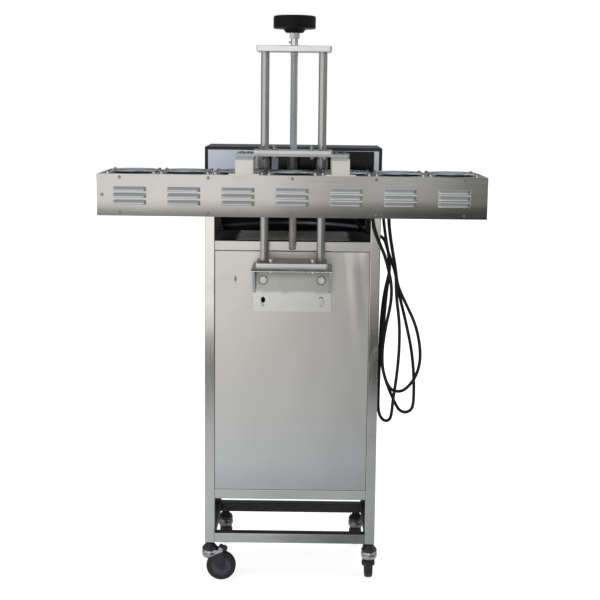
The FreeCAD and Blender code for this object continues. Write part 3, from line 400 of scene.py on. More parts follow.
give(tube_steel("post_steel", (0.80, 0.79, 0.77), 0.10, "z"), "corner_posts")
give(tube_steel("rail_steel", (0.76, 0.755, 0.74), 0.20, "x"), "frame_rails")
def sheet_finish(name, front):
    """Thin cabinet sheet; the front one is bowed a little, its top right corner is lifted, and behind the bracket a
    black spot is painted as the shade of a hole, which is not cut.
    """
    mt = steel(name, (0.86, 0.855, 0.84), 0.32, "z", cvar=0.03, rvar=0.03, fine=0.06, cloud=2.2, camt=0.07, wave=0.60, smear=0.04)
    if not front:
        return mt
    nt = mt.node_tree
    b = nt.nodes["Principled BSDF"]
    tc = node(nt, "ShaderNodeTexCoord")
    so = node(nt, "ShaderNodeSeparateXYZ")
    nt.links.new(tc.outputs["Object"], so.inputs[0])
    bow = calc(nt, "MULTIPLY", calc(nt, "MULTIPLY", so.outputs["X"], so.outputs["X"]), -0.13)
    dx = calc(nt, "SUBTRACT", so.outputs["X"], 0.188)
    dz = calc(nt, "MULTIPLY", calc(nt, "SUBTRACT", so.outputs["Z"], 0.851), 0.75)
    r = calc(nt, "SQRT", calc(nt, "ADD", calc(nt, "MULTIPLY", dx, dx), calc(nt, "MULTIPLY", dz, dz)))
    lift = span(nt, r, 0.0, 0.05, 0.0035, 0.0, True)
    old = b.inputs["Normal"].links[0].from_socket
    fold = calc(nt, "ADD", calc(nt, "ABSOLUTE", calc(nt, "SUBTRACT", calc(nt, "ADD", so.outputs["X"], calc(nt, "MULTIPLY", so.outputs["Z"], 0.10)), 0.232)), 0.0)
    fold = calc(nt, "MULTIPLY", span(nt, fold, 0.0, 0.022, 0.0009, 0.0, True), span(nt, so.outputs["Z"], 0.56, 0.80, 0.0, 1.0, True))
    lift = calc(nt, "ADD", lift, fold)
    nt.links.new(bump(nt, calc(nt, "ADD", bow, lift), 1.0, 1.0, old), b.inputs["Normal"])
    # painted shade: a black spot for the dark inside of a hole behind the bracket slot
    hx = calc(nt, "ABSOLUTE", calc(nt, "ADD", so.outputs["X"], 0.0715))
    hz = calc(nt, "MULTIPLY", calc(nt, "ABSOLUTE", calc(nt, "SUBTRACT", so.outputs["Z"], 0.7305)), 0.72)
    hole = calc(nt, "LESS_THAN", calc(nt, "ADD", calc(nt, "MULTIPLY", hx, hx), calc(nt, "MULTIPLY", hz, hz)), 0.000027)
    col = b.inputs["Base Color"].links[0].from_socket
    # painted shade in the shallow oval recess
    px = calc(nt, "ADD", so.outputs["X"], 0.140)
    pz = calc(nt, "MULTIPLY", calc(nt, "SUBTRACT", so.outputs["Z"], 0.782), 0.36)
    oval = calc(nt, "ADD", calc(nt, "MULTIPLY", px, px), calc(nt, "MULTIPLY", pz, pz))
    col = blend(nt, span(nt, oval, 0.000005, 0.0000105, 0.85, 0.0, True), col, (0.17, 0.17, 0.165))
    # painted reflection: cool towards the bottom of the sheet, warm higher up
    reflection_tint = ramp(nt, span(nt, so.outputs["Z"], 0.30, 0.56, 0.0, 1.0, True), [(0.0, (0.965, 0.98, 1.0)), (1.0, (1.0, 0.985, 0.95))])
    col = blend(nt, 1.0, col, reflection_tint, "MULTIPLY")
    # the sheet is darker towards the bottom
    panel_low_darkening = noise(nt, coords(nt, (6.0, 6.0, 10.0)), 1.0, 3.0, 0.55)
    panel_low_darkening = calc(nt, "ADD", so.outputs["Z"], span(nt, panel_low_darkening, 0.3, 0.7, -0.02, 0.02))
    col = blend(nt, span(nt, panel_low_darkening, 0.245, 0.335, 0.24, 0.0, True), col, (0.32, 0.325, 0.33))
    nt.links.new(blend(nt, hole, col, (0.004, 0.004, 0.004)), b.inputs["Base Color"])
    return mt


give(sheet_finish("panel_front_steel", True), "front_panel")
give(sheet_finish("panel_side_steel", False), "side_panels")


def rear_finish():
    mt = steel("rear_steel", (0.70, 0.695, 0.68), 0.40, "z", cvar=0.05, fine=0.10, cloud=2.4, camt=0.14, wave=0.2, smear=0.06)
    nt = mt.node_tree
    b = nt.nodes["Principled BSDF"]
    tc = node(nt, "ShaderNodeTexCoord")
    so = node(nt, "ShaderNodeSeparateXYZ")
    nt.links.new(tc.outputs["Object"], so.inputs[0])
    geo = node(nt, "ShaderNodeNewGeometry")
    sx = node(nt, "ShaderNodeSeparateXYZ")
    nt.links.new(geo.outputs["True Normal"], sx.inputs[0])
    # painted shade: inner faces of the rear panel above the deck turn near-black and non-metallic
    inner = calc(nt, "LESS_THAN", sx.outputs["Y"], 0.5)
    k = calc(nt, "MULTIPLY", calc(nt, "GREATER_THAN", so.outputs["Z"], 0.865), inner)
    old = b.inputs["Base Color"].links[0].from_socket
    nt.links.new(blend(nt, k, old, (0.006, 0.006, 0.007)), b.inputs["Base Color"])
    nt.links.new(calc(nt, "SUBTRACT", 1.0, k), b.inputs["Metallic"])
    return mt


give(rear_finish(), "rear_panel")
# a black sheet set at the back of the bay where there is only shade
shade_sheet = mesh_object("bay_shade_sheet", *placed(*rounded_plate(-190.9, 190.9, 877.1, 964.9, 247.7, 246.3, 1.2, 0.6)), smooth=False)


def shade_sheet_finish():
    """Black sheet for the shade at the back of the bay, with a painted bluish reflection streak."""
    mt = coating("shade_sheet_black", (0.008, 0.008, 0.009), 0.50, grain=600.0, bumpy=0.10, dust=0.02, spec=0.10)
    nt = mt.node_tree
    b = nt.nodes["Principled BSDF"]
    tc = node(nt, "ShaderNodeTexCoord")
    so = node(nt, "ShaderNodeSeparateXYZ")
    nt.links.new(tc.outputs["Object"], so.inputs[0])
    # painted reflection: a bluish streak curving across the sheet
    mid = calc(nt, "ADD", calc(nt, "MULTIPLY", calc(nt, "MULTIPLY", so.outputs["X"], so.outputs["X"]), -0.30), 0.8970)
    off = calc(nt, "ABSOLUTE", calc(nt, "SUBTRACT", so.outputs["Z"], mid))
    n1 = noise(nt, coords(nt, (7.0, 7.0, 60.0)), 1.0, 3.0, 0.5)
    k = calc(nt, "MULTIPLY", span(nt, off, 0.001, 0.0055, 0.9, 0.0, True), span(nt, n1, 0.35, 0.6, 0.15, 1.0))
    k = calc(nt, "MULTIPLY", k, span(nt, so.outputs["X"], -0.05, 0.05, 0.15, 1.0, True))
    old = b.inputs["Base Color"].links[0].from_socket
    nt.links.new(blend(nt, k, old, (0.62, 0.66, 0.80)), b.inputs["Base Color"])
    nt.links.new(calc(nt, "MULTIPLY", k, 0.55), b.inputs["Metallic"])
    return mt


def deck_finish():
    """Grey primer, black at both ends."""
    mt = coating("deck_grey", (0.80, 0.80, 0.76), 0.34, grain=500.0, bumpy=0.08, cvar=0.20, dust=0.10, spec=0.4)
    nt = mt.node_tree
    b = nt.nodes["Principled BSDF"]
    tc = node(nt, "ShaderNodeTexCoord")
    so = node(nt, "ShaderNodeSeparateXYZ")
    nt.links.new(tc.outputs["Object"], so.inputs[0])
    n1 = noise(nt, coords(nt, (40.0, 40.0, 40.0)), 1.0, 3.0, 0.5)
    u = calc(nt, "ADD", calc(nt, "ABSOLUTE", so.outputs["X"]), span(nt, n1, 0.3, 0.7, -0.006, 0.006))
    old = b.inputs["Base Color"].links[0].from_socket
    nt.links.new(blend(nt, span(nt, u, 0.134, 0.146, 0.0, 0.97, True), old, (0.012, 0.012, 0.013)), b.inputs["Base Color"])
    return mt


dress(shade_sheet, shade_sheet_finish())
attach(shade_sheet, "stand")
give(deck_finish(), "deck_plate")
give(coating("shelf_black", (0.035, 0.036, 0.038), 0.42, grain=700.0, bumpy=0.2, dust=0.15), "shelf_plates")

give(coating("unit_coat", (0.030, 0.031, 0.034), 0.42, grain=620.0, bumpy=0.35, dist=0.00015, dust=0.10), "unit_case")


def membrane():
    """Printed bluish grey membrane with a dark rim all round."""
    mt, nt, b = new_mat("panel_membrane")
    tc = node(nt, "ShaderNodeTexCoord")
    so = node(nt, "ShaderNodeSeparateXYZ")
    nt.links.new(tc.outputs["Object"], so.inputs[0])
    lo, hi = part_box("control_panel")
    cx, cz = (lo[0] + hi[0]) / 2, (lo[2] + hi[2]) / 2
    hx, hz = (hi[0] - lo[0]) / 2 - 0.004, (hi[2] - lo[2]) / 2 - 0.004
    dx = calc(nt, "SUBTRACT", calc(nt, "ABSOLUTE", calc(nt, "SUBTRACT", so.outputs["X"], cx)), hx)
    dz = calc(nt, "SUBTRACT", calc(nt, "ABSOLUTE", calc(nt, "SUBTRACT", so.outputs["Z"], cz)), hz)
    rim = span(nt, calc(nt, "MAXIMUM", dx, dz), -0.0006, 0.0006, 0.0, 1.0, True)
    g = noise(nt, coords(nt, (1500.0,) * 3), 1.0, 2.0, 0.5)
    c = noise(nt, coords(nt, (12.0,) * 3), 1.0, 4.0, 0.6)
    face = ramp(nt, c, [(0.3, (0.58, 0.62, 0.70)), (0.7, (0.66, 0.70, 0.78))])
    nt.links.new(blend(nt, rim, face, (0.02, 0.02, 0.022)), b.inputs["Base Color"])
    nt.links.new(span(nt, c, 0.3, 0.7, 0.32, 0.42), b.inputs["Roughness"])
    nt.links.new(bump(nt, g, 0.12, 0.0001), b.inputs["Normal"])
    return mt


give(membrane(), "control_panel")
give(coating("window_gloss", (0.004, 0.0045, 0.006), 0.12, grain=300.0, bumpy=0.02, dust=0.01, spec=0.3), "display_window")
give(coating("button_green", (0.03, 0.26, 0.09), 0.28, grain=1200.0, bumpy=0.12, cvar=0.12, coat=0.3), "start_button")
give(coating("button_red", (0.42, 0.022, 0.018), 0.28, grain=1200.0, bumpy=0.12, cvar=0.12, coat=0.3), "stop_button")
give(coating("rocker_black", (0.014, 0.014, 0.015), 0.30, grain=1300.0, bumpy=0.2, dust=0.06), "power_switch")


def board():
    mt, nt, b = new_mat("board_parts")
    tc = node(nt, "ShaderNodeTexCoord")
    so = node(nt, "ShaderNodeSeparateXYZ")
    nt.links.new(tc.outputs["Object"], so.inputs[0])
    high = calc(nt, "GREATER_THAN", so.outputs["Z"], 1.0018)
    fin = calc(nt, "LESS_THAN", so.outputs["X"], 0.012)
    g = noise(nt, coords(nt, (220.0,) * 3), 1.0, 4.0, 0.6)
    green = ramp(nt, g, [(0.40, (0.010, 0.10, 0.035)), (0.62, (0.03, 0.20, 0.07))])
    alu = ramp(nt, g, [(0.3, (0.52, 0.52, 0.53)), (0.7, (0.66, 0.66, 0.67))])
    top = blend(nt, fin, (0.018, 0.02, 0.03), alu)
    nt.links.new(blend(nt, high, green, top), b.inputs["Base Color"])
    nt.links.new(calc(nt, "MULTIPLY", high, fin), b.inputs["Metallic"])
    nt.links.new(span(nt, g, 0.3, 0.7, 0.32, 0.48), b.inputs["Roughness"])
    return mt


give(board(), "inverter_board")

# ---------------------------------------------------------------------------
# bracket, columns, spindle, carriage
# ---------------------------------------------------------------------------
def milled(name, col, rough, upper=False):
    """Bright front faces; top faces painted dark as shade and made matt and less metallic; on the bracket also the
    cheeks and the front edge at the top painted dark as shade, a painted shadow of the horizontal leg over the upper
    half, deeper just under the leg, and painted shadow rings round the upper bolts.
    """
    mt = steel(name, col, rough, "x", cvar=0.05, rvar=0.05, fine=0.12, cloud=9.0, camt=0.10, wave=0.2, smear=0.06)
    nt = mt.node_tree
    b = nt.nodes["Principled BSDF"]
    geo = node(nt, "ShaderNodeNewGeometry")
    sx = node(nt, "ShaderNodeSeparateXYZ")
    nt.links.new(geo.outputs["True Normal"], sx.inputs[0])
    old = b.inputs["Base Color"].links[0].from_socket
    g = noise(nt, coords(nt, (60.0,) * 3), 1.0, 4.0, 0.6)
    dark = ramp(nt, g, [(0.3, (0.075, 0.077, 0.08)), (0.7, (0.14, 0.142, 0.145))])
    # painted shade on the top faces
    k = calc(nt, "GREATER_THAN", sx.outputs["Z"], 0.9)
    if upper:
        tc = node(nt, "ShaderNodeTexCoord")
        so = node(nt, "ShaderNodeSeparateXYZ")
        nt.links.new(tc.outputs["Object"], so.inputs[0])
        # painted shade on the cheeks
        k = calc(nt, "MAXIMUM", k, calc(nt, "GREATER_THAN", calc(nt, "ABSOLUTE", sx.outputs["X"]), 0.9))
        # painted shadow of the horizontal leg over the upper half of the bracket
        edge = calc(nt, "ADD", so.outputs["Z"], span(nt, noise(nt, coords(nt, (26.0, 26.0, 8.0)), 1.0, 2.0, 0.5), 0.3, 0.7, -0.004, 0.004))
        leg_shadow = calc(nt, "MULTIPLY", span(nt, edge, 0.745, 0.756, 0.0, 0.55, True), calc(nt, "GREATER_THAN", so.outputs["Y"], -0.060))
        old = blend(nt, leg_shadow, old, (0.36, 0.36, 0.31))
        # painted shade, deeper just under the horizontal leg
        under = calc(nt, "MULTIPLY", span(nt, so.outputs["Z"], 0.778, 0.806, 0.0, 0.60, True), calc(nt, "GREATER_THAN", so.outputs["Y"], -0.060))
        old = blend(nt, under, old, (0.10, 0.10, 0.10))
        # painted shadow rings round the upper bolts
        bx = calc(nt, "SUBTRACT", calc(nt, "ABSOLUTE", so.outputs["X"]), 0.0715)
        bz = calc(nt, "SUBTRACT", so.outputs["Z"], 0.781)
        far = calc(nt, "SQRT", calc(nt, "ADD", calc(nt, "MULTIPLY", bx, bx), calc(nt, "MULTIPLY", bz, bz)))
        old = blend(nt, span(nt, far, 0.0095, 0.0150, 0.70, 0.0, True), old, (0.12, 0.12, 0.11))
        # painted shade on the front edge at the top of the bracket
        k = calc(nt, "MAXIMUM", k, calc(nt, "MULTIPLY", calc(nt, "LESS_THAN", so.outputs["Y"], -0.150), calc(nt, "GREATER_THAN", so.outputs["Z"], 0.8185)))
    nt.links.new(blend(nt, k, old, dark), b.inputs["Base Color"])
    nt.links.new(span(nt, k, 0.0, 1.0, 1.0, 0.25), b.inputs["Metallic"])
    nt.links.new(span(nt, k, 0.0, 1.0, 0.5, 0.06), b.inputs["Specular IOR Level"])
    return mt


give(milled("bracket_steel", (0.985, 0.98, 0.96), 0.24, True), "mounting_bracket")
give(milled("base_plate_ground", (0.97, 0.97, 0.965), 0.30), "column_base_plate")
give(steel("plate_ground", (0.98, 0.98, 0.975), 0.28, "x", cvar=0.04, fine=0.12, cloud=10.0, camt=0.05, smear=0.05), "column_top_plate")
give(steel("carriage_ground", (0.86, 0.858, 0.86), 0.30, "x", cvar=0.07, fine=0.16, cloud=10.0, camt=0.10, smear=0.06), "carriage_plate")
give(steel("bridge_steel", (0.60, 0.605, 0.615), 0.34, "x", cvar=0.08, fine=0.16, cloud=10.0, camt=0.12), "bridge_plate")
give(steel("column_chrome", (0.58, 0.577, 0.57), 0.30, "turned", cvar=0.03, rvar=0.03, fine=0.01, cloud=12.0, camt=0.06), "guide_columns")
give(steel("bolt_zinc", (0.93, 0.925, 0.91), 0.24, "none", cvar=0.10, fine=0.10, cloud=60.0, camt=0.25), "column_bolts", "spindle_collar")
give(steel("screw_plain", (0.40, 0.398, 0.39), 0.32, "none", cvar=0.12, fine=0.10, cloud=60.0, camt=0.25), "carriage_bolts", "head_screws")
give(steel("bush_steel", (0.30, 0.30, 0.31), 0.26, "turned", cvar=0.10, fine=0.10, cloud=20.0, camt=0.2), "linear_bushings")
give(steel("nut_steel", (0.16, 0.16, 0.165), 0.34, "turned", cvar=0.10, fine=0.10, cloud=20.0, camt=0.2), "screw_nut")
# the straps' warm cream tint is a painted warm reflection on brushed steel
give(steel("strap_steel", (0.93, 0.91, 0.84), 0.34, "x", cvar=0.06, fine=0.12, cloud=12.0, camt=0.08), "hanger_straps")
give(coating("wheel_bakelite", (0.0035, 0.0035, 0.0038), 0.42, grain=420.0, bumpy=0.10, dist=0.0001, cvar=0.3, dust=0.008, spec=0.16), "handwheel")

# lead screw with a real 4 mm trapezoidal thread, right-hand
PITCH_MM, R_OUT, R_ROOT, SEG = 4.0, 9.0, 7.6, 36
SZ0, SZ1 = 866.0, 1326.0
turns = int((SZ1 - SZ0) / PITCH_MM)
tv, tf = [], []
prof = ((0.0, R_ROOT), (1.25, R_ROOT), (1.9, R_OUT), (3.35, R_OUT))
rows = turns * SEG + 1
for i in range(rows + SEG):
    a = 2 * math.pi * i / SEG
    for dz, r in prof:
        tv.append((r * math.cos(a), -42.0 + r * math.sin(a), SZ0 + PITCH_MM * i / SEG + dz - PITCH_MM))
for i in range(rows + SEG - 1):
    for j in range(3):
        a = i * 4 + j
        tf.append((a, a + 4, a + 5, a + 1))
    if i + SEG + 1 < rows + SEG:
        a, b2 = i * 4 + 3, (i + SEG) * 4
        tf.append((a, a + 4, b2 + 4, b2))
foot = lathe([(0.01, 862.0), (6.6, 862.0), (8.3, 864.0), (8.3, 867.0), (6.0, 867.5), (0.01, 867.5)], 48, (0, -42, 0))
neck = lathe([(0.01, 1324.5), (8.6, 1325.0), (8.9, 1325.6), (8.9, 1332.0), (8.4, 1332.5), (6.0, 1332.5), (6.0, 1398.0), (0.01, 1398.0)], 48, (0, -42, 0))
tv, tf = joined([(tv, tf), foot, neck])
screw = mesh_object("lead_screw_thread", *placed(tv, tf), smooth=True)
screw.data.set_sharp_from_angle(angle=math.radians(70))
dress(screw, steel("screw_steel", (0.74, 0.74, 0.735), 0.45, "turned", cvar=0.04, fine=0.02, cloud=14.0, camt=0.10))
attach(screw, "spindle")
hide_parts("lead_screw")

# ---------------------------------------------------------------------------
# head
# ---------------------------------------------------------------------------
give(steel("head_steel", (0.74, 0.732, 0.71), 0.25, "x", cvar=0.07, fine=0.14, cloud=4.0, camt=0.10, wave=0.16, smear=0.05), "head_rear_panel", "head_cover", "head_front_panel")


def louvred_front():
    """Front sheet of the head, bowed by 1.2 mm, with 21 pressed hoods that have round ends and open downwards."""
    x0, x1, z0, z1, yf, yb = -442.0, 442.0, 957.0, 1052.0, -212.0, -210.5
    half, high, end = 37.5, 10.0, 9.0
    cols = [122.5 * (k - 3) for k in range(7)]
    rows = [957.0 + 31.5 + 15.0 * k for k in range(3)]
    xs = {x0, x1}
    for xc in cols:
        for sg in (-1, 1):
            for k in range(13):
                xs.add(round(xc + sg * (half - end * (1 - math.cos(math.pi / 2 * k / 12))), 4))
        for k in range(-3, 4):
            xs.add(round(xc + k * 7.0, 4))
        for q in (half + 0.5, half + 1.2, 55.0):
            xs.add(round(xc + q, 4))
            xs.add(round(xc - q, 4))
    zs = {z0, z1}
    for k in range(25):
        zs.add(round(z0 + (z1 - z0) * k / 24, 4))
    for zc in rows:
        for k in range(13):
            zs.add(round(zc + high / 2 - high * k / 12, 4))
        zs.add(round(zc - high / 2 - 0.35, 4))
        zs.add(round(zc - high / 2 - 0.50, 4))
    xs, zs = sorted(x for x in xs if x0 <= x <= x1), sorted(zs)
    zm = (z0 + z1) / 2

    def crown(z):
        return 1.2 - (0.3 if z > zm else 1.2) * ((z - zm) / (zm - z0)) ** 2

    def hood(x, z):
        xc = min(cols, key=lambda c: abs(c - x))
        u = abs(x - xc)
        if u >= half:
            return 0.0
        for zc in rows:
            v = (zc + high / 2 - z) / high
            if 0 < v < 1.045:
                e = 1.0 if u <= half - end else math.sqrt(max(0.0, 1 - ((u - half + end) / end) ** 2))
                w = min(1.0, v)
                prof = 1 - (1 - w) ** 2
                # the ends are drawn in like a quarter ball
                if e < 1.0:
                    prof *= e
                if v > 1.02:
                    prof *= 0.90
                return 3.3 * prof
        return 0.0
    verts, faces = [], []
    nx, nz = len(xs), len(zs)
    for z in zs:
        for x in xs:
            verts.append((x, yf - crown(z) - hood(x, z), z))
    for j in range(nz - 1):
        for i in range(nx - 1):
            a = j * nx + i
            faces.append((a, a + 1, a + nx + 1, a + nx))
    n = len(verts)
    for z in zs:
        for x in xs:
            verts.append((x, yb - crown(z), z))
    for j in range(nz - 1):
        for i in range(nx - 1):
            a = n + j * nx + i
            faces.append((a, a + nx, a + nx + 1, a + 1))
    for i in range(nx - 1):
        faces.append((i, n + i, n + i + 1, i + 1))
        a = (nz - 1) * nx + i
        faces.append((a, a + 1, n + a + 1, n + a))
    for j in range(nz - 1):
        a = j * nx
        faces.append((a, a + nx, n + a + nx, n + a))
        a = j * nx + nx - 1
        faces.append((a, n + a, n + a + nx, a + nx))
    return verts, faces


def front_finish():
    """Brushed sheet; the mouths under the hoods are painted dark as shade, and the sheet darkens towards its bottom
    edge.
    """
    mt = steel("head_front_steel", (0.60, 0.593, 0.572), 0.15, "x", cvar=0.05, rvar=0.05, fine=0.10, cloud=4.0, camt=0.08, wave=0.14, smear=0.05)
    nt = mt.node_tree
    b = nt.nodes["Principled BSDF"]
    geo = node(nt, "ShaderNodeNewGeometry")
    sx = node(nt, "ShaderNodeSeparateXYZ")
    nt.links.new(geo.outputs["True Normal"], sx.inputs[0])
    tc = node(nt, "ShaderNodeTexCoord")
    so = node(nt, "ShaderNodeSeparateXYZ")
    nt.links.new(tc.outputs["Object"], so.inputs[0])
    # painted shade in the downward-facing mouths of the hoods
    k = calc(nt, "MULTIPLY", calc(nt, "LESS_THAN", sx.outputs["Z"], -0.90), calc(nt, "GREATER_THAN", so.outputs["Z"], 0.960))
    old = b.inputs["Base Color"].links[0].from_socket
    # the sheet darkens towards its bottom edge
    head_low_darkening = span(nt, calc(nt, "ADD", so.outputs["Z"], span(nt, noise(nt, coords(nt, (5.0, 5.0, 20.0)), 1.0, 2.0, 0.5), 0.3, 0.7, -0.006, 0.006)), 0.964, 0.998, 0.58, 0.0, True)
    old = blend(nt, head_low_darkening, old, (0.16, 0.163, 0.17))
    nt.links.new(blend(nt, k, old, (0.02, 0.02, 0.022)), b.inputs["Base Color"])
    return mt


sheet = mesh_object("head_front_sheet", *placed(*louvred_front()))
sheet.data.set_sharp_from_angle(angle=math.radians(48))
dress(sheet, front_finish())
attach(sheet, "head")
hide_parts("head_front_panel")
give(coating("sole_laminate", (0.20, 0.12, 0.055), 0.40, grain=300.0, bumpy=0.12, cvar=0.2, dust=0.05), "head_base_plate")
give(steel("coil_copper", (0.72, 0.33, 0.17), 0.34, "x", cvar=0.16, fine=0.25, cloud=20.0, camt=0.2), "induction_coil")
give(coating("ferrite_grey", (0.05, 0.05, 0.052), 0.55, grain=500.0, bumpy=0.3, cvar=0.2), "ferrite_bars")
give(coating("fan_black", (0.016, 0.016, 0.017), 0.38, grain=800.0, bumpy=0.2, dust=0.10), "fan_frames", *["fan_rotor_%d" % k for k in range(1, 8)])
give(steel("guard_chrome", (0.74, 0.74, 0.745), 0.16, "none", cvar=0.06, fine=0.04, cloud=30.0, camt=0.15), "fan_guards")

# ---------------------------------------------------------------------------
# castors
# ---------------------------------------------------------------------------
CASTORS = ("front_left", "front_right", "rear_left", "rear_right")
give(coating("castor_black", (0.014, 0.014, 0.015), 0.36, grain=500.0, bumpy=0.2, dust=0.10), "castor_stems")
give(coating("pedal_black", (0.016, 0.016, 0.017), 0.40, grain=700.0, bumpy=0.3, dust=0.10), "brake_pedal_front_left", "brake_pedal_front_right")


def fork_finish(name):
    """Chromed swivel hood above a slanting line; below it the cheeks are painted black, a painted dark reflection, and
    the rear forks get a darker chrome as painted shade under the machine.
    """
    # painted shade: rear forks get a darker chrome than the front ones
    shine = 0.70 if name.startswith("front") else 0.26
    mt = steel("fork_" + name, (shine, shine * 0.993, shine * 0.986), 0.14, "none", cvar=0.08, fine=0.05, cloud=40.0, camt=0.3)
    nt = mt.node_tree
    b = nt.nodes["Principled BSDF"]
    lo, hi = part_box("castor_wheel_" + name)
    tc = node(nt, "ShaderNodeTexCoord")
    so = node(nt, "ShaderNodeSeparateXYZ")
    nt.links.new(tc.outputs["Object"], so.inputs[0])
    trail = "X" if (hi[0] - lo[0]) > (hi[1] - lo[1]) else "Y"
    mid = (lo[0] + hi[0]) / 2 if trail == "X" else (lo[1] + hi[1]) / 2
    d = calc(nt, "ADD", calc(nt, "SUBTRACT", so.outputs[trail], mid), 0.0285)
    edge = calc(nt, "ADD", calc(nt, "MULTIPLY", calc(nt, "MAXIMUM", d, -0.004), 0.42), 0.0645)
    # painted dark reflection below the slanting line
    k = span(nt, calc(nt, "SUBTRACT", so.outputs["Z"], edge), -0.0006, 0.0006, 1.0, 0.0, True)
    old = b.inputs["Base Color"].links[0].from_socket
    oldr = b.inputs["Roughness"].links[0].from_socket
    nt.links.new(blend(nt, k, old, (0.016, 0.016, 0.018)), b.inputs["Base Color"])
    nt.links.new(calc(nt, "SUBTRACT", 1.0, k), b.inputs["Metallic"])
    rm = node(nt, "ShaderNodeMix", data_type="FLOAT")
    nt.links.new(k, rm.inputs[0])
    nt.links.new(oldr, rm.inputs[2])
    rm.inputs[3].default_value = 0.40
    nt.links.new(rm.outputs[0], b.inputs["Roughness"])
    return mt


def wheel_finish(name):
    """Rubber tyre on a grey moulded core, told apart by the distance from the axle."""
    mt, nt, b = new_mat("tyre_" + name)
    lo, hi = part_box("castor_wheel_" + name)
    c = [(lo[i] + hi[i]) / 2 for i in range(3)]
    across = "Y" if (hi[1] - lo[1]) > (hi[0] - lo[0]) else "X"
    tc = node(nt, "ShaderNodeTexCoord")
    so = node(nt, "ShaderNodeSeparateXYZ")
    nt.links.new(tc.outputs["Object"], so.inputs[0])
    u = calc(nt, "SUBTRACT", so.outputs[across], c[1] if across == "Y" else c[0])
    v = calc(nt, "SUBTRACT", so.outputs["Z"], c[2])
    r = calc(nt, "SQRT", calc(nt, "ADD", calc(nt, "MULTIPLY", u, u), calc(nt, "MULTIPLY", v, v)))
    k = span(nt, r, 0.0252, 0.0262, 0.0, 1.0, True)
    n1 = noise(nt, coords(nt, (60.0,) * 3), 1.0, 5.0, 0.65, 0.6)
    n2 = noise(nt, coords(nt, (700.0,) * 3), 1.0, 3.0, 0.6)
    tyre = ramp(nt, n1, [(0.3, (0.006, 0.006, 0.0065)), (0.62, (0.012, 0.012, 0.013)), (0.85, (0.040, 0.038, 0.036))])
    core = ramp(nt, n1, [(0.3, (0.024, 0.024, 0.027)), (0.7, (0.050, 0.050, 0.054))])
    nt.links.new(blend(nt, k, core, tyre), b.inputs["Base Color"])
    nt.links.new(span(nt, k, 0.0, 1.0, 0.36, 0.62), b.inputs["Roughness"])
    nt.links.new(bump(nt, n2, 0.3, 0.00015), b.inputs["Normal"])
    return mt


for n in CASTORS:
    give(fork_finish(n), "castor_fork_" + n)
    give(wheel_finish(n), "castor_wheel_" + n)

# ---------------------------------------------------------------------------
# lead: sheath, strain relief, plug, gland and hook
# ---------------------------------------------------------------------------
SHEATH = coating("lead_sheath", (0.0045, 0.0045, 0.005), 0.45, grain=900.0, bumpy=0.15, cvar=0.3, dust=0.01, spec=0.3)
dress(lead, SHEATH)
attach(lead, "stand")
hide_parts("cord_lead", "cord_hank")

bare = cu.copy()
bare.bevel_depth = 0.0
tmp = bpy.data.objects.new("route_line", bare)
sc.collection.objects.link(tmp)
bpy.context.view_layer.update()
line = bpy.data.meshes.new_from_object(tmp.evaluated_get(bpy.context.evaluated_depsgraph_get()))
centre = [v.co.copy() for v in line.vertices]
bpy.data.objects.remove(tmp)
bpy.data.meshes.remove(line)
bpy.data.curves.remove(bare)


def along(points, profile, seg=40):
    """Ribbed sleeve round a line: profile is (distance from its start, radius), both in mm."""
    cum = [0.0]
    for a, b in zip(points, points[1:]):
        cum.append(cum[-1] + (b - a).length)
    verts, faces = [], []
    ref = Vector((0.0, 1.0, 0.0))
    for d, r in profile:
        t = max(0.0, d / 1000.0)
        i = 0
        while i < len(points) - 2 and cum[i + 1] < t:
            i += 1
        tang = (points[i + 1] - points[i]).normalized()
        c = points[i] + tang * (d / 1000.0 - cum[i])
        u = (ref - tang * ref.dot(tang)).normalized()
        w = tang.cross(u)
        for k in range(seg):
            a = 2 * math.pi * k / seg
            verts.append(c + (u * math.cos(a) + w * math.sin(a)) * (r / 1000.0))
    for j in range(len(profile) - 1):
        for k in range(seg):
            a, b = j * seg + k, j * seg + (k + 1) % seg
            faces.append((a, b, b + seg, a + seg))
    return verts, faces


prof_r = [(0.3, 4.05), (0.3, 6.2)]
d = 1.2
for k in range(7):
    r = 6.2 - 0.22 * k
    prof_r += [(d, r), (d + 2.6, r - 0.12), (d + 3.0, r - 0.8), (d + 4.2, r - 0.8)]
    d += 4.2
prof_r += [(d, 4.75), (d + 2.0, 4.6), (d + 2.3, 4.05)]
relief = mesh_object("lead_strain_relief", *along(centre, prof_r))
dress(relief, coating("relief_rubber", (0.008, 0.008, 0.009), 0.50, grain=900.0, bumpy=0.2, dust=0.03, spec=0.4))
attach(relief, "stand")

# moulded two-pin plug: ribbed sleeve, waisted grip with finger grooves, flat face with two pins
pp = [(0.0, 4.05), (0.0, 5.4), (1.0, 5.9)]
h = 1.6
for k in range(5):
    r = 5.9 + 0.28 * k
    pp += [(h, r), (h + 2.4, r + 0.1), (h + 2.8, r - 0.8), (h + 3.8, r - 0.8)]
    h += 3.8
pp += [(21.0, 7.4), (22.0, 9.0), (24.0, 11.4), (27.0, 13.4), (30.0, 14.6), (33.0, 15.2)]
for k in range(3):
    h = 34.0 + 4.0 * k
    pp += [(h, 15.5 + 0.5 * k), (h + 1.0, 14.6 + 0.5 * k), (h + 2.2, 14.6 + 0.5 * k), (h + 3.2, 15.8 + 0.5 * k)]
pp += [(46.5, 17.4), (50.6, 17.9), (51.6, 17.5), (52.0, 16.8), (52.0, 0.01)]
plug_parts = [lathe([(r, q) for q, r in pp], 48, (158.0, 214.0, 1008.0), "-x")]
for sgn in (-1, 1):
    plug_parts.append(lathe([(2.9, 51.5), (2.9, 53.0), (2.4, 53.2), (2.4, 69.0), (1.9, 70.4), (0.9, 71.0), (0.01, 71.0)], 24, (158.0, 214.0 + sgn * 9.5, 1008.0), "-x"))
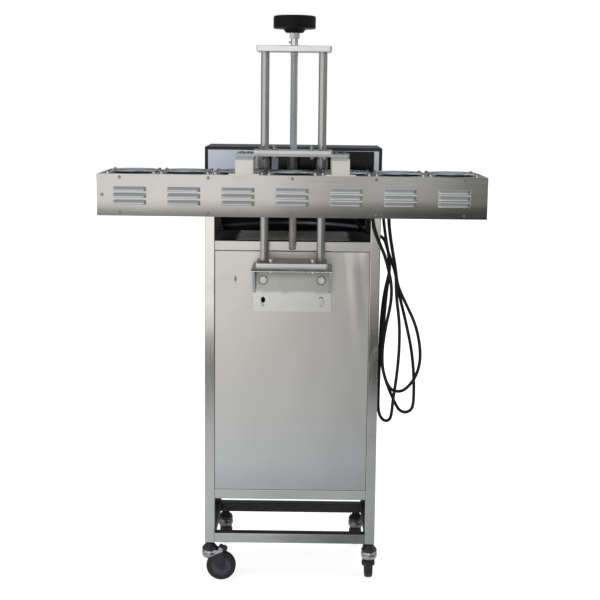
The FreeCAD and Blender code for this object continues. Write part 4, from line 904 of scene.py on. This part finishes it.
plug = mesh_object("plug_moulded", *placed(*joined(plug_parts)), smooth=True)


def plug_finish():
    """Black rubber body, nickel pins."""
    mt = coating("plug_rubber", (0.008, 0.008, 0.009), 0.46, grain=700.0, bumpy=0.25, dust=0.03, spec=0.4)
    nt = mt.node_tree
    b = nt.nodes["Principled BSDF"]
    tc = node(nt, "ShaderNodeTexCoord")
    so = node(nt, "ShaderNodeSeparateXYZ")
    nt.links.new(tc.outputs["Object"], so.inputs[0])
    k = calc(nt, "LESS_THAN", so.outputs["X"], 0.1049)
    old = b.inputs["Base Color"].links[0].from_socket
    nt.links.new(blend(nt, k, old, (0.66, 0.64, 0.60)), b.inputs["Base Color"])
    nt.links.new(k, b.inputs["Metallic"])
    return mt


dress(plug, plug_finish())
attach(plug, "stand")
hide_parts("mains_plug")

give(coating("gland_nylon", (0.020, 0.020, 0.021), 0.38, grain=800.0, bumpy=0.2, dust=0.05), "cable_gland")
give(steel("hook_zinc", (0.60, 0.60, 0.59), 0.28, "none", cvar=0.08, fine=0.06, cloud=40.0, camt=0.2), "cord_hook")

# ---------------------------------------------------------------------------
# floor, light, world
# ---------------------------------------------------------------------------
fl = bpy.data.meshes.new("floor")
fl.from_pydata([(-9, -3.2, 0), (9, -3.2, 0), (9, 14, 0), (-9, 14, 0)], [], [(0, 1, 2, 3)])
floor = bpy.data.objects.new("floor", fl)
sc.collection.objects.link(floor)
fmat, nt, b = new_mat("floor_pale")
fn = noise(nt, coords(nt, (2.0, 2.0, 2.0)), 1.0, 2.0, 0.5)
nt.links.new(ramp(nt, fn, [(0.3, (0.40, 0.40, 0.40)), (0.7, (0.42, 0.42, 0.42))]), b.inputs["Base Color"])
b.inputs["Roughness"].default_value = 0.9
b.inputs["Specular IOR Level"].default_value = 0.0
b.inputs["Emission Color"].default_value = (1.0, 1.0, 1.0, 1.0)
fx = node(nt, "ShaderNodeVectorMath", operation="LENGTH")
nt.links.new(coords(nt, (1.0, 1.0, 1.0)), fx.inputs[0])
nt.links.new(span(nt, fx.outputs["Value"], 0.6, 2.4, 0.84, 1.02, True), b.inputs["Emission Strength"])
fl.materials.append(fmat)
floor.visible_glossy = False


def area(name, loc, target, size, power, col=(1, 1, 1)):
    ld = bpy.data.lights.new(name, "AREA")
    ld.shape = "RECTANGLE"
    ld.size, ld.size_y = size
    ld.energy = power
    ld.color = col
    o = bpy.data.objects.new(name, ld)
    sc.collection.objects.link(o)
    o.location = loc
    o.rotation_mode = "QUATERNION"
    o.rotation_quaternion = (Vector(target) - Vector(loc)).to_track_quat("-Z", "Y")
    return o


key = area("key_left", (-2.6, -2.4, 2.6), (0, 0, 0.8), (3.2, 3.2), 60)
key.visible_glossy = False
top = area("top_soft", (0.0, 0.2, 3.6), (0, 0.2, 0), (4.5, 4.5), 90)
top.visible_glossy = False

wd = bpy.data.worlds.new("studio")
sc.world = wd
wd.use_nodes = True
wn = wd.node_tree
bg = wn.nodes["Background"]
tc = wn.nodes.new("ShaderNodeTexCoord")
sx = wn.nodes.new("ShaderNodeSeparateXYZ")
wn.links.new(tc.outputs["Generated"], sx.inputs[0])


def wspan(src, a0, a1, b0, b1):
    r = wn.nodes.new("ShaderNodeMapRange")
    r.interpolation_type = "SMOOTHSTEP"
    for k, v in zip(("From Min", "From Max", "To Min", "To Max"), (a0, a1, b0, b1)):
        r.inputs[k].default_value = v
    wn.links.new(src, r.inputs["Value"])
    return r.outputs["Result"]


def wmath(op, a, b):
    x = wn.nodes.new("ShaderNodeMath")
    x.operation = op
    for s, v in zip(x.inputs, (a, b)):
        if isinstance(v, (int, float)):
            s.default_value = v
        else:
            wn.links.new(v, s)
    return x.outputs[0]


def wramp(src, lo, hi, stops):
    """Grey level as a piecewise line over a coordinate."""
    r = wn.nodes.new("ShaderNodeMapRange")
    for k, v in zip(("From Min", "From Max", "To Min", "To Max"), (lo, hi, 0.0, 1.0)):
        r.inputs[k].default_value = v
    wn.links.new(src, r.inputs["Value"])
    c = wn.nodes.new("ShaderNodeValToRGB")
    els = c.color_ramp.elements
    while len(els) < len(stops):
        els.new(0.5)
    for e, (q, v) in zip(els, stops):
        e.position = (q - lo) / (hi - lo)
        e.color = (v, v, v, 1.0)
    wn.links.new(r.outputs["Result"], c.inputs["Fac"])
    return c.outputs["Color"]


def wmix(fac, a, b2):
    x = wn.nodes.new("ShaderNodeMix")
    x.data_type = "FLOAT"
    wn.links.new(fac, x.inputs[0])
    for sock, v in ((x.inputs[2], a), (x.inputs[3], b2)):
        if isinstance(v, (int, float)):
            sock.default_value = v
        else:
            wn.links.new(v, sock)
    return x.outputs[0]


# a bright window wall to the front left, a darker band at the skirting, a pale floor, and dim walls elsewhere
across = wramp(sx.outputs["X"], -1.0, 1.0, [(-1.0, 0.85), (-0.35, 0.95), (-0.10, 1.05), (-0.030, 1.05), (0.008, 0.50), (0.030, 0.42), (0.050, 0.40), (0.075, 0.34), (0.12, 0.19), (0.20, 0.15), (0.36, 0.40), (1.0, 0.45)])
level = wramp(sx.outputs["X"], -1.0, 1.0, [(-1.0, 0.85), (-0.35, 0.95), (-0.10, 1.05), (-0.028, 1.12), (0.004, 0.50), (0.022, 0.30), (0.040, 0.46), (0.056, 0.56), (0.075, 0.74), (0.098, 0.82), (0.112, 0.42), (0.125, 0.15), (0.20, 0.14), (0.36, 0.40), (1.0, 0.45)])
across = wmix(wspan(sx.outputs["Z"], -0.125, -0.100, 0.0, 1.0), across, level)
high = wramp(sx.outputs["X"], -1.0, 1.0, [(-1.0, 0.85), (-0.35, 1.0), (-0.10, 1.1), (0.10, 1.05), (0.30, 0.22), (0.45, 0.40), (1.0, 0.45)])
across = wmix(wspan(sx.outputs["Z"], 0.005, 0.045, 0.0, 1.0), across, high)
skew = wmath("SUBTRACT", sx.outputs["Z"], wmath("MULTIPLY", wmath("MAXIMUM", sx.outputs["X"], 0.0), 0.25))
wall = wramp(skew, -1.0, 1.0, [(-0.208, 0.18), (-0.184, 1.0), (-0.05, 1.05), (0.10, 1.0), (0.30, 0.66), (0.55, 0.46), (1.0, 0.42)])
ground = wramp(sx.outputs["X"], -1.0, 1.0, [(-0.4, 0.66), (-0.08, 0.64), (0.02, 0.60), (0.062, 0.50), (0.10, 0.55), (0.5, 0.52)])
near = wramp(sx.outputs["X"], -1.0, 1.0, [(-0.4, 0.62), (-0.06, 0.60), (-0.02, 0.46), (0.05, 0.36), (0.5, 0.52)])
ground = wmix(wspan(sx.outputs["Z"], -0.354, -0.372, 0.0, 1.0), ground, near)
sunk = wramp(sx.outputs["Z"], -1.0, 1.0, [(-1.0, 0.70), (-0.55, 0.88), (-0.37, 0.94), (-0.31, 1.0)])
dim = wramp(sx.outputs["Z"], -1.0, 1.0, [(-1.0, 0.50), (-0.60, 0.62), (-0.28, 0.58), (-0.17, 0.24), (0.35, 0.23), (0.60, 0.44), (1.0, 0.52)])
facing = wspan(sx.outputs["Y"], -0.30, 0.15, 1.0, 0.0)
down = wspan(sx.outputs["Z"], -0.234, -0.290, 0.0, 1.0)
front = wmix(down, wmath("MULTIPLY", across, wall), wmath("MULTIPLY", ground, sunk))
room = wmix(facing, dim, front)
lamp = wmath("MULTIPLY", wspan(sx.outputs["X"], 0.60, 0.85, 0.0, 0.9), wramp(sx.outputs["Z"], -1.0, 1.0, [(0.12, 0.0), (0.22, 1.0), (0.48, 1.0), (0.62, 0.0)]))
room = wmath("ADD", room, lamp)
path = wn.nodes.new("ShaderNodeLightPath")
wn.links.new(wmix(path.outputs["Is Camera Ray"], room, 1.0), bg.inputs["Strength"])
hue = wn.nodes.new("ShaderNodeValToRGB")
els = hue.color_ramp.elements
while len(els) < 5:
    els.new(0.5)
for e, (q, c) in zip(els, [(0.0, (0.95, 0.985, 1.03)), (0.275, (0.95, 0.985, 1.02)), (0.352, (1.0, 0.98, 0.945)), (0.589, (1.0, 0.99, 0.965)), (0.844, (0.86, 0.95, 1.05))]):
    e.position = q
    e.color = (*c, 1.0)
wn.links.new(wspan(sx.outputs["Z"], -1.0, 1.0, 0.0, 1.0), hue.inputs["Fac"])
white = wn.nodes.new("ShaderNodeMix")
white.data_type = "RGBA"
wn.links.new(path.outputs["Is Camera Ray"], white.inputs[0])
wn.links.new(hue.outputs["Color"], white.inputs[6])
white.inputs[7].default_value = (1.0, 1.0, 1.0, 1.0)
wn.links.new(white.outputs[2], bg.inputs["Color"])

sc.view_settings.view_transform = "Standard"
sc.view_settings.look = "None"
